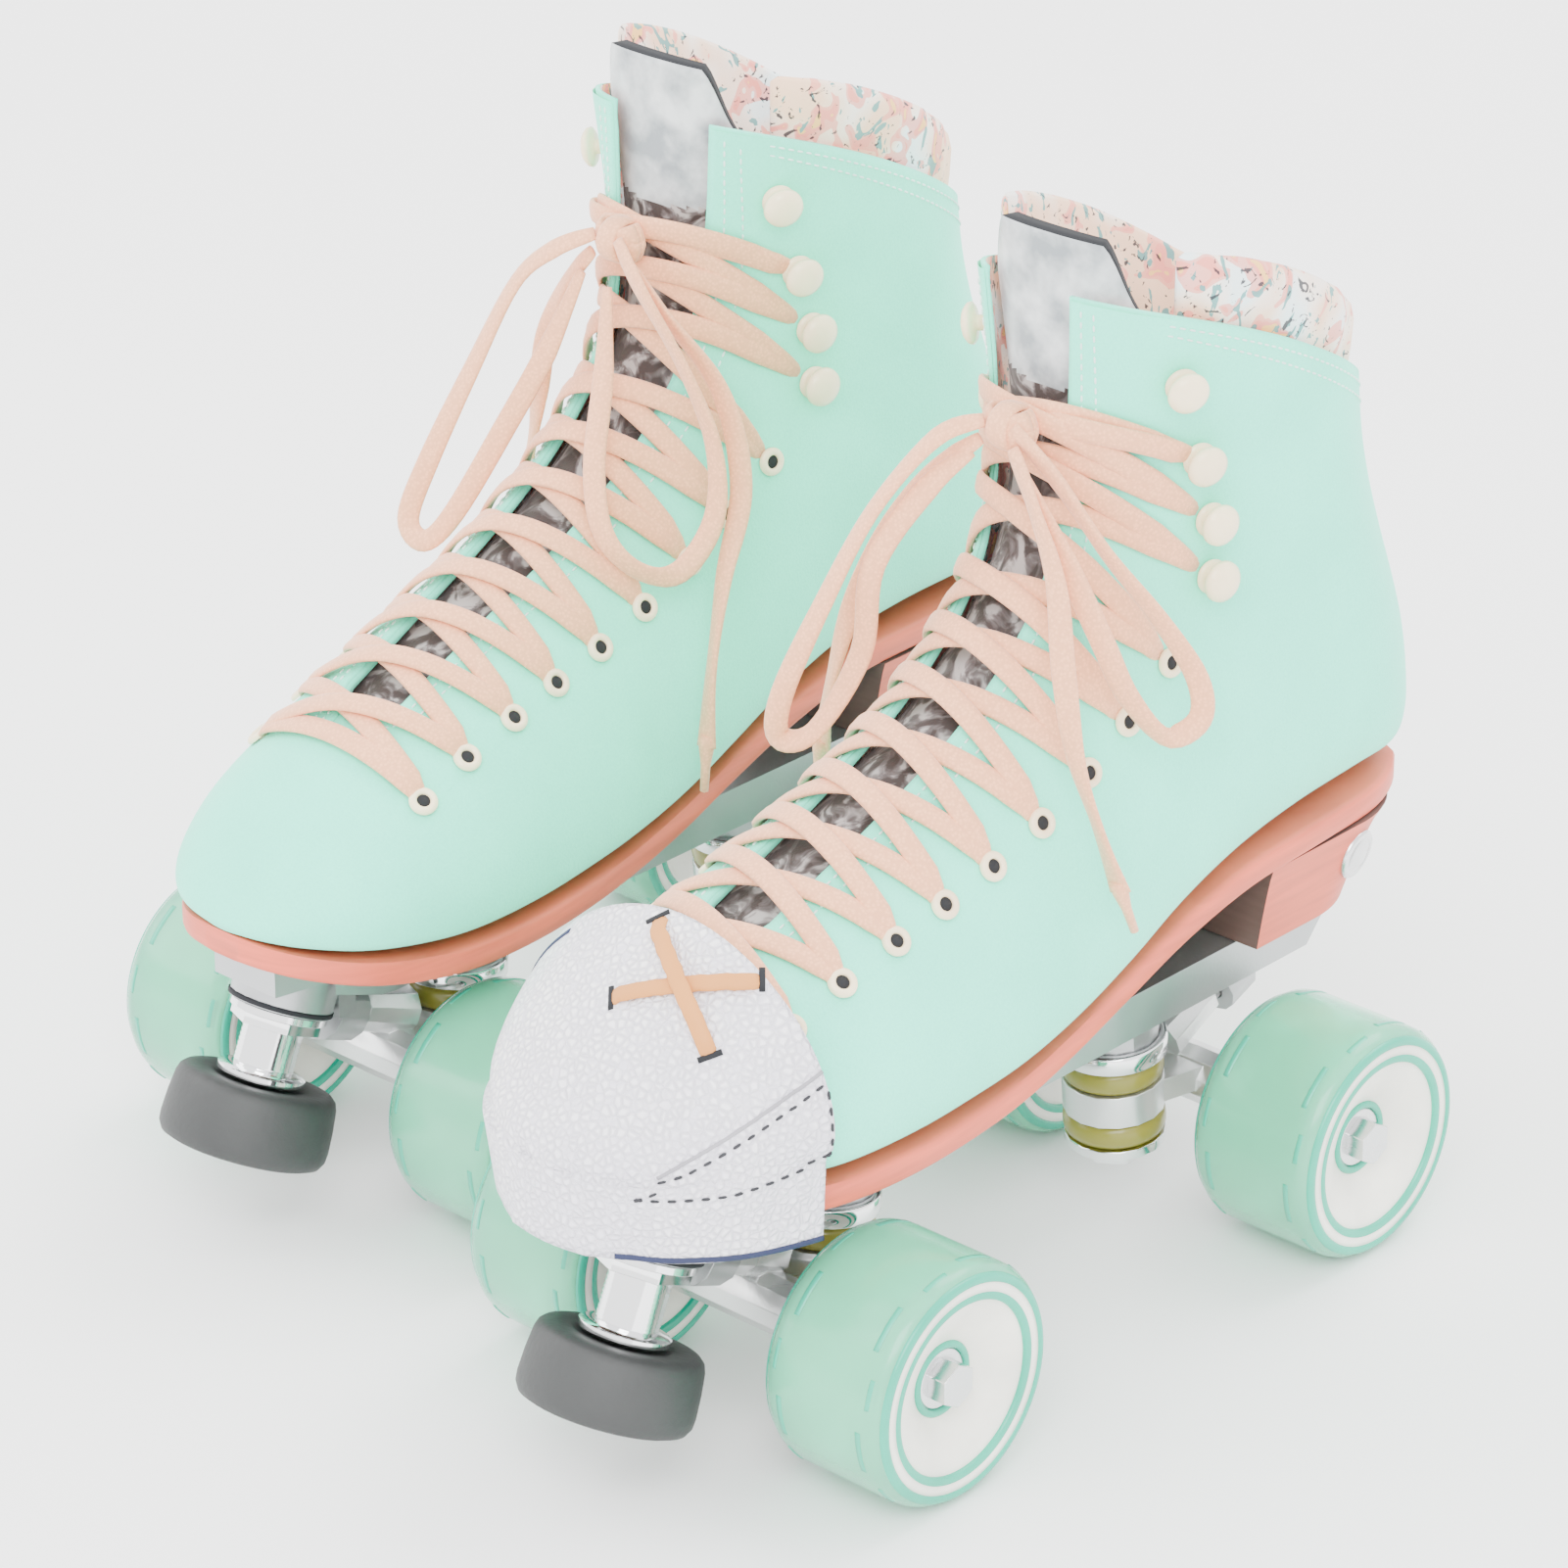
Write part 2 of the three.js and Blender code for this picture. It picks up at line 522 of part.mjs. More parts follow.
function plate() {
  const nose = ribRange(0, 4).map((k) => {
    const y = PLATE_FRONT_Y + k * 8;
    return [y, Math.max(soleUnderside(y) - GAP, PLATE_TOP)];
  });
  const deckTop = [...nose, [-92, PLATE_TOP], [PLATE_REAR_Y, PLATE_TOP]];
  const deck = [...deckTop, [PLATE_REAR_Y, PLATE_TOP - PLATE_SKIN],
    [PLATE_FRONT_Y, PLATE_TOP - PLATE_SKIN]];
  const rail = [[PLATE_FRONT_Y, PLATE_TOP - PLATE_SKIN + 1], [PLATE_REAR_Y, PLATE_TOP - PLATE_SKIN + 1],
    [PLATE_REAR_Y - 8, PLATE_TOP - PLATE_DEPTH], [PLATE_FRONT_Y + 30, PLATE_TOP - PLATE_DEPTH]];
  const inside = PLATE_HALF_WIDTH - RAIL_THICKNESS;
  let body = toSolid(across(deck, PLATE_HALF_WIDTH));
  for (const side of [-1, 1]) {
    const wall = across(rail, RAIL_THICKNESS / 2).translate(side * (inside + RAIL_THICKNESS / 2), 0, 0);
    body = body.add(toSolid(wall));
  }
  for (const y of [-32, -4, 24]) {
    const low = [-inside - 1, y - 2, PLATE_TOP - PLATE_DEPTH];
    body = body.add(toSolid(block(low, [inside + 1, y + 2, PLATE_TOP - PLATE_SKIN + 1])));
  }
  for (const [y, length] of [[-18, 20], [10, 20], [38, 16]]) {
    const low = [-inside + 4, y - length / 2, PLATE_TOP - PLATE_SKIN - 1];
    body = body.subtract(toSolid(block(low, [inside - 4, y + length / 2, PLATE_TOP + 1])));
  }
  for (const side of [-1, 1]) body = body.subtract(toSolid(noseTrim(side)));
  for (const end of [-1, 1]) body = body.add(truckMount(truckFrame(end)));
  for (const end of [-1, 1]) body = body.subtract(truckBores(truckFrame(end)));
  const bossTop = stopPoint(-(PLATE_TOP - STOP_BOSS_Z - 2) / Math.cos(STOP_TILT));
  const boss = rod(stopPoint(0), bossTop, STOP_BOSS_RADIUS, 20);
  const bore = rod(stopPoint(-STOP_BORE_RISE), stopPoint(2), STOP_STEM_RADIUS + GAP, 16);
  return toGeometry(body.add(toSolid(boss)).subtract(toSolid(bore)));
}

// Wedge that narrows the plate's nose on one side.
function noseTrim(side) {
  const inward = PLATE_HALF_WIDTH - PLATE_NOSE_HALF_WIDTH;
  const slant = Math.atan2(inward, PLATE_TAPER_Y - PLATE_FRONT_Y);
  const wedge = block([side > 0 ? 0 : -30, -30, -20], [side > 0 ? 30 : 0, 30, 20]);
  wedge.rotateZ(-side * slant);
  return wedge.translate(side * (PLATE_HALF_WIDTH - inward / 2), (PLATE_TAPER_Y + PLATE_FRONT_Y) / 2, PLATE_TOP);
}

function truckMount(truck) {
  const cup = rod(stackPoint(truck, CUP_BOTTOM), stackPoint(truck, CUP_BOTTOM + CUP_HEIGHT), CUSHION_RADIUS + 0.6, 16);
  const cone = rod(stackPoint(truck, CUP_BOTTOM + CUP_HEIGHT - 1), stackPoint(truck, PLATE_TOP - RING_Z - 2), 12.4, 16);
  const seat = truck.pivot.clone().addScaledVector(truck.lean, -5);
  const root = truck.pivot.clone().addScaledVector(truck.lean, 5);
  const socket = rod(seat, root, PIVOT_RADIUS + 4, 12);
  const low = [-PIVOT_RADIUS - 4, Math.min(truck.pivot.y, truck.pivot.y + truck.end * 6), PIVOT_Z + 2];
  const high = [PIVOT_RADIUS + 4, Math.max(truck.pivot.y, truck.pivot.y + truck.end * 6), PLATE_TOP - 1];
  return unite([cup, cone, socket, block(low, high)].map(toSolid));
}

function truckBores(truck) {
  const kingpin = rod(stackPoint(truck, 0), stackPoint(truck, KINGPIN_TOP + 2), KINGPIN_RADIUS + GAP, 12);
  const start = truck.pivot.clone().addScaledVector(truck.lean, -8);
  const end = truck.pivot.clone().addScaledVector(truck.lean, 3 + GAP);
  return unite([toSolid(kingpin), toSolid(rod(start, end, PIVOT_RADIUS + GAP, 12))]);
}

const KINGPIN_TOP = PLATE_TOP - RING_Z - 10;
const ARM_START = CUSHION_RADIUS + 6;

function kingpin(truck) {
  const head = rod(stackPoint(truck, KINGPIN_HEAD - 7), stackPoint(truck, KINGPIN_HEAD - 2.5), 8.6, 6);
  const washer = rod(stackPoint(truck, KINGPIN_HEAD - 2.6), stackPoint(truck, KINGPIN_HEAD), CUSHION_RADIUS, 16);
  const pin = rod(stackPoint(truck, KINGPIN_HEAD - 9), stackPoint(truck, KINGPIN_TOP), KINGPIN_RADIUS, 12);
  return toGeometry(unite([head, washer, pin].map(toSolid)));
}

function cushion(truck, low) {
  const hole = KINGPIN_RADIUS + GAP;
  const waist = CUSHION_RADIUS - 0.8;
  const profile = [[hole, 0], [waist, 0], [CUSHION_RADIUS, 1.6], [CUSHION_RADIUS, CUSHION_HEIGHT - 1.6],
    [waist, CUSHION_HEIGHT], [hole, CUSHION_HEIGHT]];
  return along(lathe(profile, 12), stackPoint(truck, low), truck.kingpin);
}

function hanger(truck) {
  const low = stackPoint(truck, -RING_THICKNESS / 2);
  const high = stackPoint(truck, RING_THICKNESS / 2);
  const axle = V(0, truck.end * WHEELBASE / 2, WHEEL_RADIUS);
  const half = TRACK / 2 - WHEEL_WIDTH / 2 - 2;
  const tip = truck.pivot.clone().addScaledVector(truck.lean, 3);
  const shoulder = truck.pivot.clone().addScaledVector(truck.lean, -8);
  const parts = [
    rod(low, high, CUSHION_RADIUS, 16),
    rod(axle.clone().setX(-half), axle.clone().setX(half), 7.5, 10),
    rod(truck.ring.clone().addScaledVector(truck.lean, ARM_START), shoulder, 7, 10, 6),
    rod(shoulder.clone().addScaledVector(truck.lean, -1), tip, PIVOT_RADIUS, 10),
    hangerWeb(truck, axle),
  ].map(toSolid);
  const swing = KINGPIN_RADIUS + 1.4;
  const bore = rod(stackPoint(truck, -RING_THICKNESS), stackPoint(truck, RING_THICKNESS), swing, 10);
  const axleBore = rod(axle.clone().setX(-half - 1), axle.clone().setX(half + 1), AXLE_RADIUS + GAP, 12);
  return toGeometry(unite(parts).subtract(toSolid(bore)).subtract(toSolid(axleBore)));
}

// Flat web that ties the ring to the axle housing and the pivot arm.
function hangerWeb(truck, axle) {
  const near = truck.ring.y + truck.end * 6;
  const low = RING_Z - RING_THICKNESS / 2 + 1.5;
  const corners = [V(-11, near, low), V(11, near, low), V(15, axle.y, low), V(-15, axle.y, low)];
  return loft([corners, corners.map((p) => p.clone().setZ(p.z + RING_THICKNESS - 2.5))]);
}

function axleWithNuts(end) {
  const face = TRACK / 2 + WHEEL_WIDTH / 2;
  const y = end * WHEELBASE / 2;
  const seat = face - RECESS_DEPTH + GAP;
  const parts = [rod(V(-face + 2, y, WHEEL_RADIUS), V(face - 2, y, WHEEL_RADIUS), AXLE_RADIUS, 12)];
  for (const side of [-1, 1]) {
    const start = V(side * seat, y, WHEEL_RADIUS);
    parts.push(rod(start, V(side * (seat + AXLE_NUT_LENGTH), y, WHEEL_RADIUS), AXLE_NUT_RADIUS, 6));
  }
  return toGeometry(unite(parts.map(toSolid)));
}

// A wheel's pieces turn about X; half a facet of turn lays one facet flat on the floor.
function onAxle(geometry, x, y) {
  geometry.rotateY(Math.PI / WHEEL_SIDES).rotateZ(Math.PI / 2);
  return geometry.translate(x, y, WHEEL_RADIUS);
}

function tyre(x, y) {
  const outer = WHEEL_RADIUS / Math.cos(Math.PI / WHEEL_SIDES);
  const inner = CORE_RADIUS / Math.cos(Math.PI / WHEEL_SIDES) + GAP;
  const half = WHEEL_WIDTH / 2;
  return onAxle(lathe([[inner, -half + 0.5], [outer - WHEEL_LIP, -half], [outer, -half + WHEEL_LIP],
    [outer, half - WHEEL_LIP], [outer - WHEEL_LIP, half], [inner, half - 0.5]], WHEEL_SIDES), x, y);
}

function hub(x, y) {
  const half = WHEEL_WIDTH / 2;
  const bore = AXLE_RADIUS + GAP;
  const floor = half - RECESS_DEPTH;
  return onAxle(lathe([[bore, -floor], [RECESS_RADIUS - 2, -floor], [RECESS_RADIUS, -half + 0.5],
    [CORE_RADIUS, -half + 0.5], [CORE_RADIUS, half - 0.5], [RECESS_RADIUS, half - 0.5],
    [RECESS_RADIUS - 2, floor], [bore, floor]], WHEEL_SIDES), x, y);
}

// ---------------------------------------------------------------- toe stop
function stopStem(reach) {
  const flange = rod(stopPoint(reach - 2.8), stopPoint(reach - GAP), 11.5, 16);
  const stem = rod(stopPoint(-STOP_STEM_RISE), stopPoint(reach - 1), STOP_STEM_RADIUS, 16);
  return toGeometry(unite([toSolid(flange), toSolid(stem)]));
}

function stopNut() {
  const body = rod(stopPoint(GAP), stopPoint(GAP + STOP_NUT_HEIGHT), STOP_NUT_RADIUS, 6);
  const collar = rod(stopPoint(GAP), stopPoint(GAP + 2), STOP_NUT_RADIUS + 0.8, 16);
  const hole = rod(stopPoint(-1), stopPoint(STOP_NUT_HEIGHT + 2), STOP_STEM_RADIUS + GAP, 16);
  return toGeometry(toSolid(body).add(toSolid(collar)).subtract(toSolid(hole)));
}

function stopPad(reach) {
  const r = STOP_PAD_RADIUS;
  const h = STOP_PAD_HEIGHT;
  return along(lathe([[0, 0], [r - 4, 0], [r - 1.5, 3], [r, h - 5], [r - 2.5, h], [0, h]], 20),
    stopPoint(reach), stopAxis);
}

// ---------------------------------------------------------------- toe guard
// How far the guard stands off the skin: close at the toe, over the laces at its back edge.
function guardRing(u, offset) {
  const over = Math.min(Math.max((u - 2) / 3, 0), 1) * GUARD_OVER_LACES;
  return Array.from({ length: RING_POINTS }, (_, k) => {
    const angle = 2 * Math.PI * k / RING_POINTS;
    return skinAt(u, angle, offset + over * Math.max(0, -Math.cos(angle)) ** 0.5);
  });
}

function guardBody(offset, low) {
  const ribs = buildRibs(0, 6);
  const cap = toSolid(loft(ribs.map((u) => guardRing(u, offset))));
  const sides = (side) => ribs.map((u) => {
    const { shift, foot } = RIBS[u];
    const ahead = u < 2 ? offset : 0;
    return new THREE.Vector2(shift + side * (SOLE_HALF[u] + GUARD_SOLE_GAP + offset), foot[0] - ahead);
  });
  const outline = new THREE.Shape([...sides(1), ...sides(-1).reverse()]);
  const skirt = new THREE.ExtrudeGeometry(outline, { depth: GUARD_WALL_TOP - low, bevelEnabled: false });
  return cap.add(toSolid(mergedPositions(skirt.translate(0, 0, low))));
}

function toeGuard() {
  const inner = 1.2;
  const outerBody = guardBody(inner + GUARD_THICKNESS, GUARD_BOTTOM_Z);
  const innerBody = guardBody(inner, GUARD_BOTTOM_Z - 5);
  const back = toSolid(block([-80, GUARD_BACK_Y, 40], [80, 60, 200]));
  return toGeometry(outerBody.subtract(innerBody).subtract(back));
}

// ---------------------------------------------------------------- assembly
const COLOURS = {
  boot_upper: [0xb9e6d8, 0.85, 0], collar_lining: [0xf0c4ae, 0.9, 0], tongue: [0xaeddd0, 0.85, 0],
  footbed: [0xd9c8b4, 0.9, 0], outsole: [0xdc8f7c, 0.6, 0], heel: [0xdc8f7c, 0.6, 0],
  lace: [0xf3cdb4, 0.9, 0], plate: [0xc9ccce, 0.4, 0.9], toe_stop_pad: [0x7b7d7d, 0.8, 0],
  toe_stop_stem: [0xdedede, 0.15, 1], toe_stop_nut: [0xdedede, 0.15, 1], hanger: [0xd5d6d4, 0.4, 0.9],
  axle: [0xdedede, 0.2, 1], kingpin: [0xdedede, 0.15, 1], cushion: [0xb5ad58, 0.6, 0],
  tyre: [0xbfeedd, 0.2, 0], hub: [0x3fd9b8, 0.3, 0], toe_guard: [0xf4f2f2, 0.6, 0],
};

function piece(name, geometry, colour) {
  const [color, roughness, metalness] = COLOURS[colour];
  const mesh = new THREE.Mesh(geometry, new THREE.MeshStandardMaterial({ color, roughness, metalness }));
  mesh.name = name;
  return mesh;
}

// Reflects a piece so that the outside of the foot is on the other side.
function mirrored(geometry) {
  geometry.scale(-1, 1, 1);
  return outward(geometry.index ? geometry : mergedPositions(geometry));
}

function skate(name, side) {
  const group = new THREE.Group();
  const add = (part, geometry, colour = part) => group.add(piece(`${name}_${part}`, geometry, colour));
  const handed = (geometry) => (side > 0 ? geometry : mirrored(geometry));
  add('boot_upper', handed(bootUpper()));
  add('collar_lining', handed(collarLining()));
  add('tongue', handed(tongue()));
  add('footbed', handed(footbed()));
  add('outsole', handed(outsole()));
  add('heel', heel());
  add('lace', lace(name, side));
  add('plate', plate());
  add('toe_stop_pad', stopPad(STOP_REACH[name]));
  add('toe_stop_stem', stopStem(STOP_REACH[name]));
  add('toe_stop_nut', stopNut());
  for (const [place, end] of [['front', -1], ['rear', 1]]) {
    const truck = truckFrame(end);
    add(`${place}_hanger`, hanger(truck), 'hanger');
    add(`${place}_axle`, axleWithNuts(end), 'axle');
    add(`${place}_kingpin`, kingpin(truck), 'kingpin');
    add(`${place}_upper_cushion`, cushion(truck, UPPER_CUSHION), 'cushion');
    add(`${place}_lower_cushion`, cushion(truck, LOWER_CUSHION), 'cushion');
    for (const [hand, x] of [['inner', -side], ['outer', side]]) {
      add(`${place}_${hand}_tyre`, tyre(x * TRACK / 2, end * WHEELBASE / 2), 'tyre');
      add(`${place}_${hand}_hub`, hub(x * TRACK / 2, end * WHEELBASE / 2), 'hub');
    }
  }
  if (name === 'left') add('toe_guard', toeGuard());
  group.position.set(side * PAIR_SPACING / 2, -side * STAGGER / 2, 0);
  return group;
}

const pair = new THREE.Group();
pair.add(skate('left', 1), skate('right', -1));

// The origin stands on the floor under the middle of the pair, its laces left out.
pair.updateMatrixWorld(true);
const box = new THREE.Box3();
pair.traverse((node) => {
  if (node.isMesh && !node.name.endsWith('lace')) box.expandByObject(node, true);
});
const middle = box.getCenter(V());
pair.position.set(-middle.x, -middle.y, 0);

export default pair;
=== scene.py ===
"""Looks of a pair of quad roller skates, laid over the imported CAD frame.

Boot shapes are worked out in skate millimetres: the toe points to -Y, +Z is up and +X is the
outside of the foot. place() turns such a point into the row frame, in metres.
"""

import math
from math import cos, pi, radians, sin

import bmesh
import bpy
from mathutils import Matrix, Quaternion, Vector
from mathutils.bvhtree import BVHTree


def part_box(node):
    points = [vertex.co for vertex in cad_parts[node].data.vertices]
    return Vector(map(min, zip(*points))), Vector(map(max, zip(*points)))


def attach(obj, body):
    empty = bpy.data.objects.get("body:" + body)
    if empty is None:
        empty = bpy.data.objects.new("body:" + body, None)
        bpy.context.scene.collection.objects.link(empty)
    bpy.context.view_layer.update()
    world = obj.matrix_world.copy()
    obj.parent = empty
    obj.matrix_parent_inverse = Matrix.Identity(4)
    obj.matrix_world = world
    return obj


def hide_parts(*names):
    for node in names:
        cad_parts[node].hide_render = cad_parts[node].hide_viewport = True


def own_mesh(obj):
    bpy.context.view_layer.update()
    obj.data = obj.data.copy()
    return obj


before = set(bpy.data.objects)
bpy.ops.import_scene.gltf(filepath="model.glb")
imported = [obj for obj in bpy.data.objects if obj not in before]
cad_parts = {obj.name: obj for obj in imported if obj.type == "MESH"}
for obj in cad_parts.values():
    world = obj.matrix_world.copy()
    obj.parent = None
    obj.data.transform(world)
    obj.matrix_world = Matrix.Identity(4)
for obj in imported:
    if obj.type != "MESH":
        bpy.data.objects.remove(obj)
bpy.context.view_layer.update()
SIDES = {"left": 1, "right": -1}
WALL = 3.0
GAP = 0.3


def skate_origin(name):
    """The middle of a skate's four wheels, on the floor."""
    corners = [*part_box(f"{name}_front_axle"), *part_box(f"{name}_rear_axle")]
    middle = sum(corners, Vector()) / 4
    return Vector((middle.x, middle.y, 0.0))


ORIGIN = {name: skate_origin(name) for name in SIDES}


def place(name, point, handed=True):
    """A point in skate millimetres, in the row frame; handed mirrors it for the right foot."""
    x = point[0] * (SIDES[name] if handed else 1)
    return ORIGIN[name] + Vector((x, point[1], point[2])) / 1000


def home(name):
    """The body that a skate's boot, plate and laces ride on."""
    return f"{name}_boot_and_plate"


def add_object(name, data):
    obj = bpy.data.objects.new(name, data)
    bpy.context.scene.collection.objects.link(obj)
    return obj


# ---- camera
CAMERA_AZIMUTH = radians(42.35)
CAMERA_ELEVATION = radians(25.56)
CAMERA_DISTANCE = 1.66535
CAMERA_TARGET = (0.00146, 0.09804)    # along the picture's right and up
CAMERA_SHIFT = Vector((0, -0.00071, 0))
CAMERA_LENS = 146.7


def make_camera():
    a, e = CAMERA_AZIMUTH, CAMERA_ELEVATION
    right = Vector((cos(a), sin(a), 0))
    back = Vector((sin(a) * cos(e), -cos(a) * cos(e), sin(e)))
    up = back.cross(right)
    data = bpy.data.cameras.new("camera")
    data.lens = CAMERA_LENS
    data.sensor_width = 36
    data.clip_end = 20
    camera = add_object("camera", data)
    spot = right * CAMERA_TARGET[0] + up * CAMERA_TARGET[1] + back * CAMERA_DISTANCE + CAMERA_SHIFT
    camera.matrix_world = Matrix.Translation(spot) @ Matrix((right, up, back)).transposed().to_4x4()
    bpy.context.scene.camera = camera


# ---- materials
class Look:
    """A procedural material built round one Principled shader."""

    def __init__(self, name, color, roughness=0.5, metallic=0.0, **sockets):
        self.mat = bpy.data.materials.new(name)
        self.mat.use_nodes = True
        self.nodes = self.mat.node_tree.nodes
        self.links = self.mat.node_tree.links
        self.inputs = self.nodes["Principled BSDF"].inputs
        sockets.update(Base_Color=(*color, 1), Roughness=roughness, Metallic=metallic)
        for key, value in sockets.items():
            self.inputs[key.replace("_", " ")].default_value = value

    def texture(self, kind, scale, stretch=(1, 1, 1), **settings):
        """A 3-D texture in the object's own metres."""
        node = self.nodes.new(f"ShaderNodeTex{kind}")
        coordinates = self.nodes.new("ShaderNodeTexCoord")
        mapping = self.nodes.new("ShaderNodeMapping")
        mapping.inputs["Scale"].default_value = stretch
        self.links.new(coordinates.outputs["Object"], mapping.inputs["Vector"])
        self.links.new(mapping.outputs["Vector"], node.inputs["Vector"])
        node.inputs["Scale"].default_value = scale
        for key, value in settings.items():
            if key in node.inputs:
                node.inputs[key].default_value = value
            else:
                setattr(node, key, value)
        return node.outputs[0]

    def noise(self, scale, detail, **settings):
        return self.texture("Noise", scale, Detail=detail, **settings)

    def bump(self, height, distance, strength=1.0, below=None):
        node = self.nodes.new("ShaderNodeBump")
        node.inputs["Distance"].default_value = distance
        node.inputs["Strength"].default_value = strength
        self.links.new(height, node.inputs["Height"])
        if below:
            self.links.new(below, node.inputs["Normal"])
        self.feed("Normal", node.outputs["Normal"])
        return node.outputs["Normal"]

    def ramp(self, factor, stops, constant=False):
        node = self.nodes.new("ShaderNodeValToRGB")
        node.color_ramp.interpolation = "CONSTANT" if constant else "LINEAR"
        elements = node.color_ramp.elements
        while len(elements) < len(stops):
            elements.new(0.5)
        for element, (position, color) in zip(elements, stops):
            element.position = position
            element.color = (*color, 1)
        self.links.new(factor, node.inputs["Fac"])
        return node.outputs["Color"]

    def mask(self, factor, *stops):
        """Grey steps of a pattern: nothing below the first stop."""
        return self.ramp(factor, [(0.0, grey(0)), *((at, grey(value)) for at, value in stops)], True)

    def mix(self, factor, first, second, blend="MIX"):
        node = self.nodes.new("ShaderNodeMix")
        node.data_type = "RGBA"
        node.blend_type = blend
        for key, value in (("Factor", factor), ("A", first), ("B", second)):
            if isinstance(value, tuple):
                node.inputs[key].default_value = (*value, 1)
            elif isinstance(value, float):
                node.inputs[key].default_value = value
            else:
                self.links.new(value, node.inputs[key])
        return node.outputs["Result"]

    def feed(self, socket, output):
        self.links.new(output, self.inputs[socket])

    def colored(self, output):
        self.feed("Base Color", output)

    def mottled(self, cloud, color, low, high):
        """Base colour that drifts between two shades of a colour with a cloud."""
        self.colored(self.ramp(cloud, [(0.3, shade(color, low)), (0.7, shade(color, high))]))


def grey(value):
    return (value, value, value)


def shade(color, factor):
    return tuple(min(1.0, c * factor) for c in color)


def suede():
    look = Look("suede", MINT, 0.88, Sheen_Weight=0.35, Sheen_Roughness=0.45, Sheen_Tint=(0.8, 1.0, 0.95, 1),
                Specular_IOR_Level=0.2)
    nap = look.noise(1500, 3.0)
    tone = look.ramp(look.noise(26, 5.0), [(0.3, shade(MINT, 0.93)), (0.7, shade(MINT, 1.05))])
    fine = look.ramp(nap, [(0.3, grey(0.93)), (0.7, grey(1.0))])
    look.colored(look.mix(1.0, tone, fine, "MULTIPLY"))
    look.bump(nap, 0.00025, 0.5)
    return look.mat


def print_fabric():
    """Generic blossom print: soft pink blooms, teal leaves and dark sprigs on a pale ground."""
    look = Look("blossom_print", PEACH, 0.85, Sheen_Weight=0.2)
    bloom = look.noise(95, 1.0, Distortion=1.2)
    leaf = look.noise(150, 2.0, stretch=(1, 1, 0.7), Distortion=1.8)
    sprig = look.noise(190, 3.0, stretch=(0.7, 1, 1), Distortion=2.4)
    color = look.ramp(look.noise(45, 2.0), [(0.4, (0.95, 0.62, 0.42)), (0.55, (0.95, 0.84, 0.74)),
                                            (0.66, (0.80, 0.93, 0.95))])
    for mask, tint in ((look.mask(bloom, (0.55, 0.8), (0.62, 1)), (0.90, 0.30, 0.24)),
                       (look.mask(bloom, (0.68, 1)), (0.95, 0.55, 0.18)),
                       (look.mask(leaf, (0.62, 0.9)), (0.06, 0.30, 0.30)),
                       (look.mask(sprig, (0.635, 0.95)), (0.02, 0.02, 0.03))):
        color = look.mix(mask, color, tint)
    look.colored(color)
    look.bump(look.noise(1800, 2.0), 0.0002, 0.4)
    return look.mat


def tongue_in_painted_shade():
    """Cloth seen between the laces, painted near-black for the shade in the recess between the facings, with
    silvery blotches.
    """
    look = Look("tongue_in_painted_shade", grey(0.1), 0.7, Sheen_Weight=0.2)
    # The two dark stops are painted shade of the gap between the facings; the pale stop gives the silvery
    # blotches.
    look.colored(look.ramp(look.noise(130, 3.0, Distortion=1.4), [
        (0.42, (0.035, 0.022, 0.02)), (0.52, (0.12, 0.10, 0.10)), (0.6, (0.40, 0.37, 0.36))]))
    look.bump(look.noise(1600, 2.0), 0.0002, 0.4)
    return look.mat


def satin():
    look = Look("satin", (0.5, 0.52, 0.54), 0.4, Sheen_Weight=0.4)
    fold_and_shade = look.noise(90, 4.0)
    # Colour follows the fold relief: painted shade in the troughs and painted highlight on the crests.
    look.colored(look.ramp(fold_and_shade, [(0.35, (0.22, 0.25, 0.27)), (0.65, (0.62, 0.65, 0.66))]))
    look.bump(fold_and_shade, 0.001, 0.4)
    return look.mat


def woven_lace():
    look = Look("woven_lace", LACE_PEACH, 0.8, Sheen_Weight=0.3)
    weave = look.texture("Voronoi", 1100)
    # Lighter on the raised yarns and darker in the hollows between them: painted highlight and painted shade
    # of the weave.
    look.colored(look.ramp(weave, [(0.0, shade(LACE_PEACH, 1.08)), (0.6, shade(LACE_PEACH, 0.82))]))
    look.bump(weave, 0.0003, -0.6)
    return look.mat


def stacked_sole(name, color, roughness):
    look = Look(name, color, roughness)
    streak = look.noise(30, 4.0, stretch=(1, 1, 12))
    look.mottled(streak, color, 0.85, 1.12)
    look.bump(streak, 0.0003, 0.3)
    return look.mat


def cast_metal(name, color, roughness, grain):
    look = Look(name, color, roughness, 0.85)
    cloud = look.noise(40, 3.0)
    look.mottled(cloud, color, 0.9, 1.06)
    rough = look.ramp(cloud, [(0.3, grey(roughness * 0.8)), (0.7, grey(roughness * 1.2))])
    look.feed("Roughness", rough)
    look.bump(look.noise(grain, 4.0), 0.00015, 0.35)
    return look.mat


def polished_metal(name, color, roughness):
    look = Look(name, color, roughness, 1.0)
    rough = look.ramp(look.noise(120, 3.0), [(0.35, grey(roughness * 0.6)), (0.7, grey(roughness * 1.6))])
    look.feed("Roughness", rough)
    return look.mat


def urethane(name, color, transmission, roughness=0.22):
    look = Look(name, color, roughness, Transmission_Weight=transmission, IOR=1.35, Coat_Weight=0.4,
                Coat_Roughness=0.12)
    look.mottled(look.noise(35, 2.0), color, 0.94, 1.04)
    look.bump(look.noise(900, 3.0), 0.0001, 0.15)
    return look.mat


def moulded(name, color, roughness, grain=700, depth=0.0002):
    look = Look(name, color, roughness)
    look.mottled(look.noise(45, 3.0), color, 0.88, 1.1)
    look.bump(look.noise(grain, 4.0), depth, 0.4)
    return look.mat


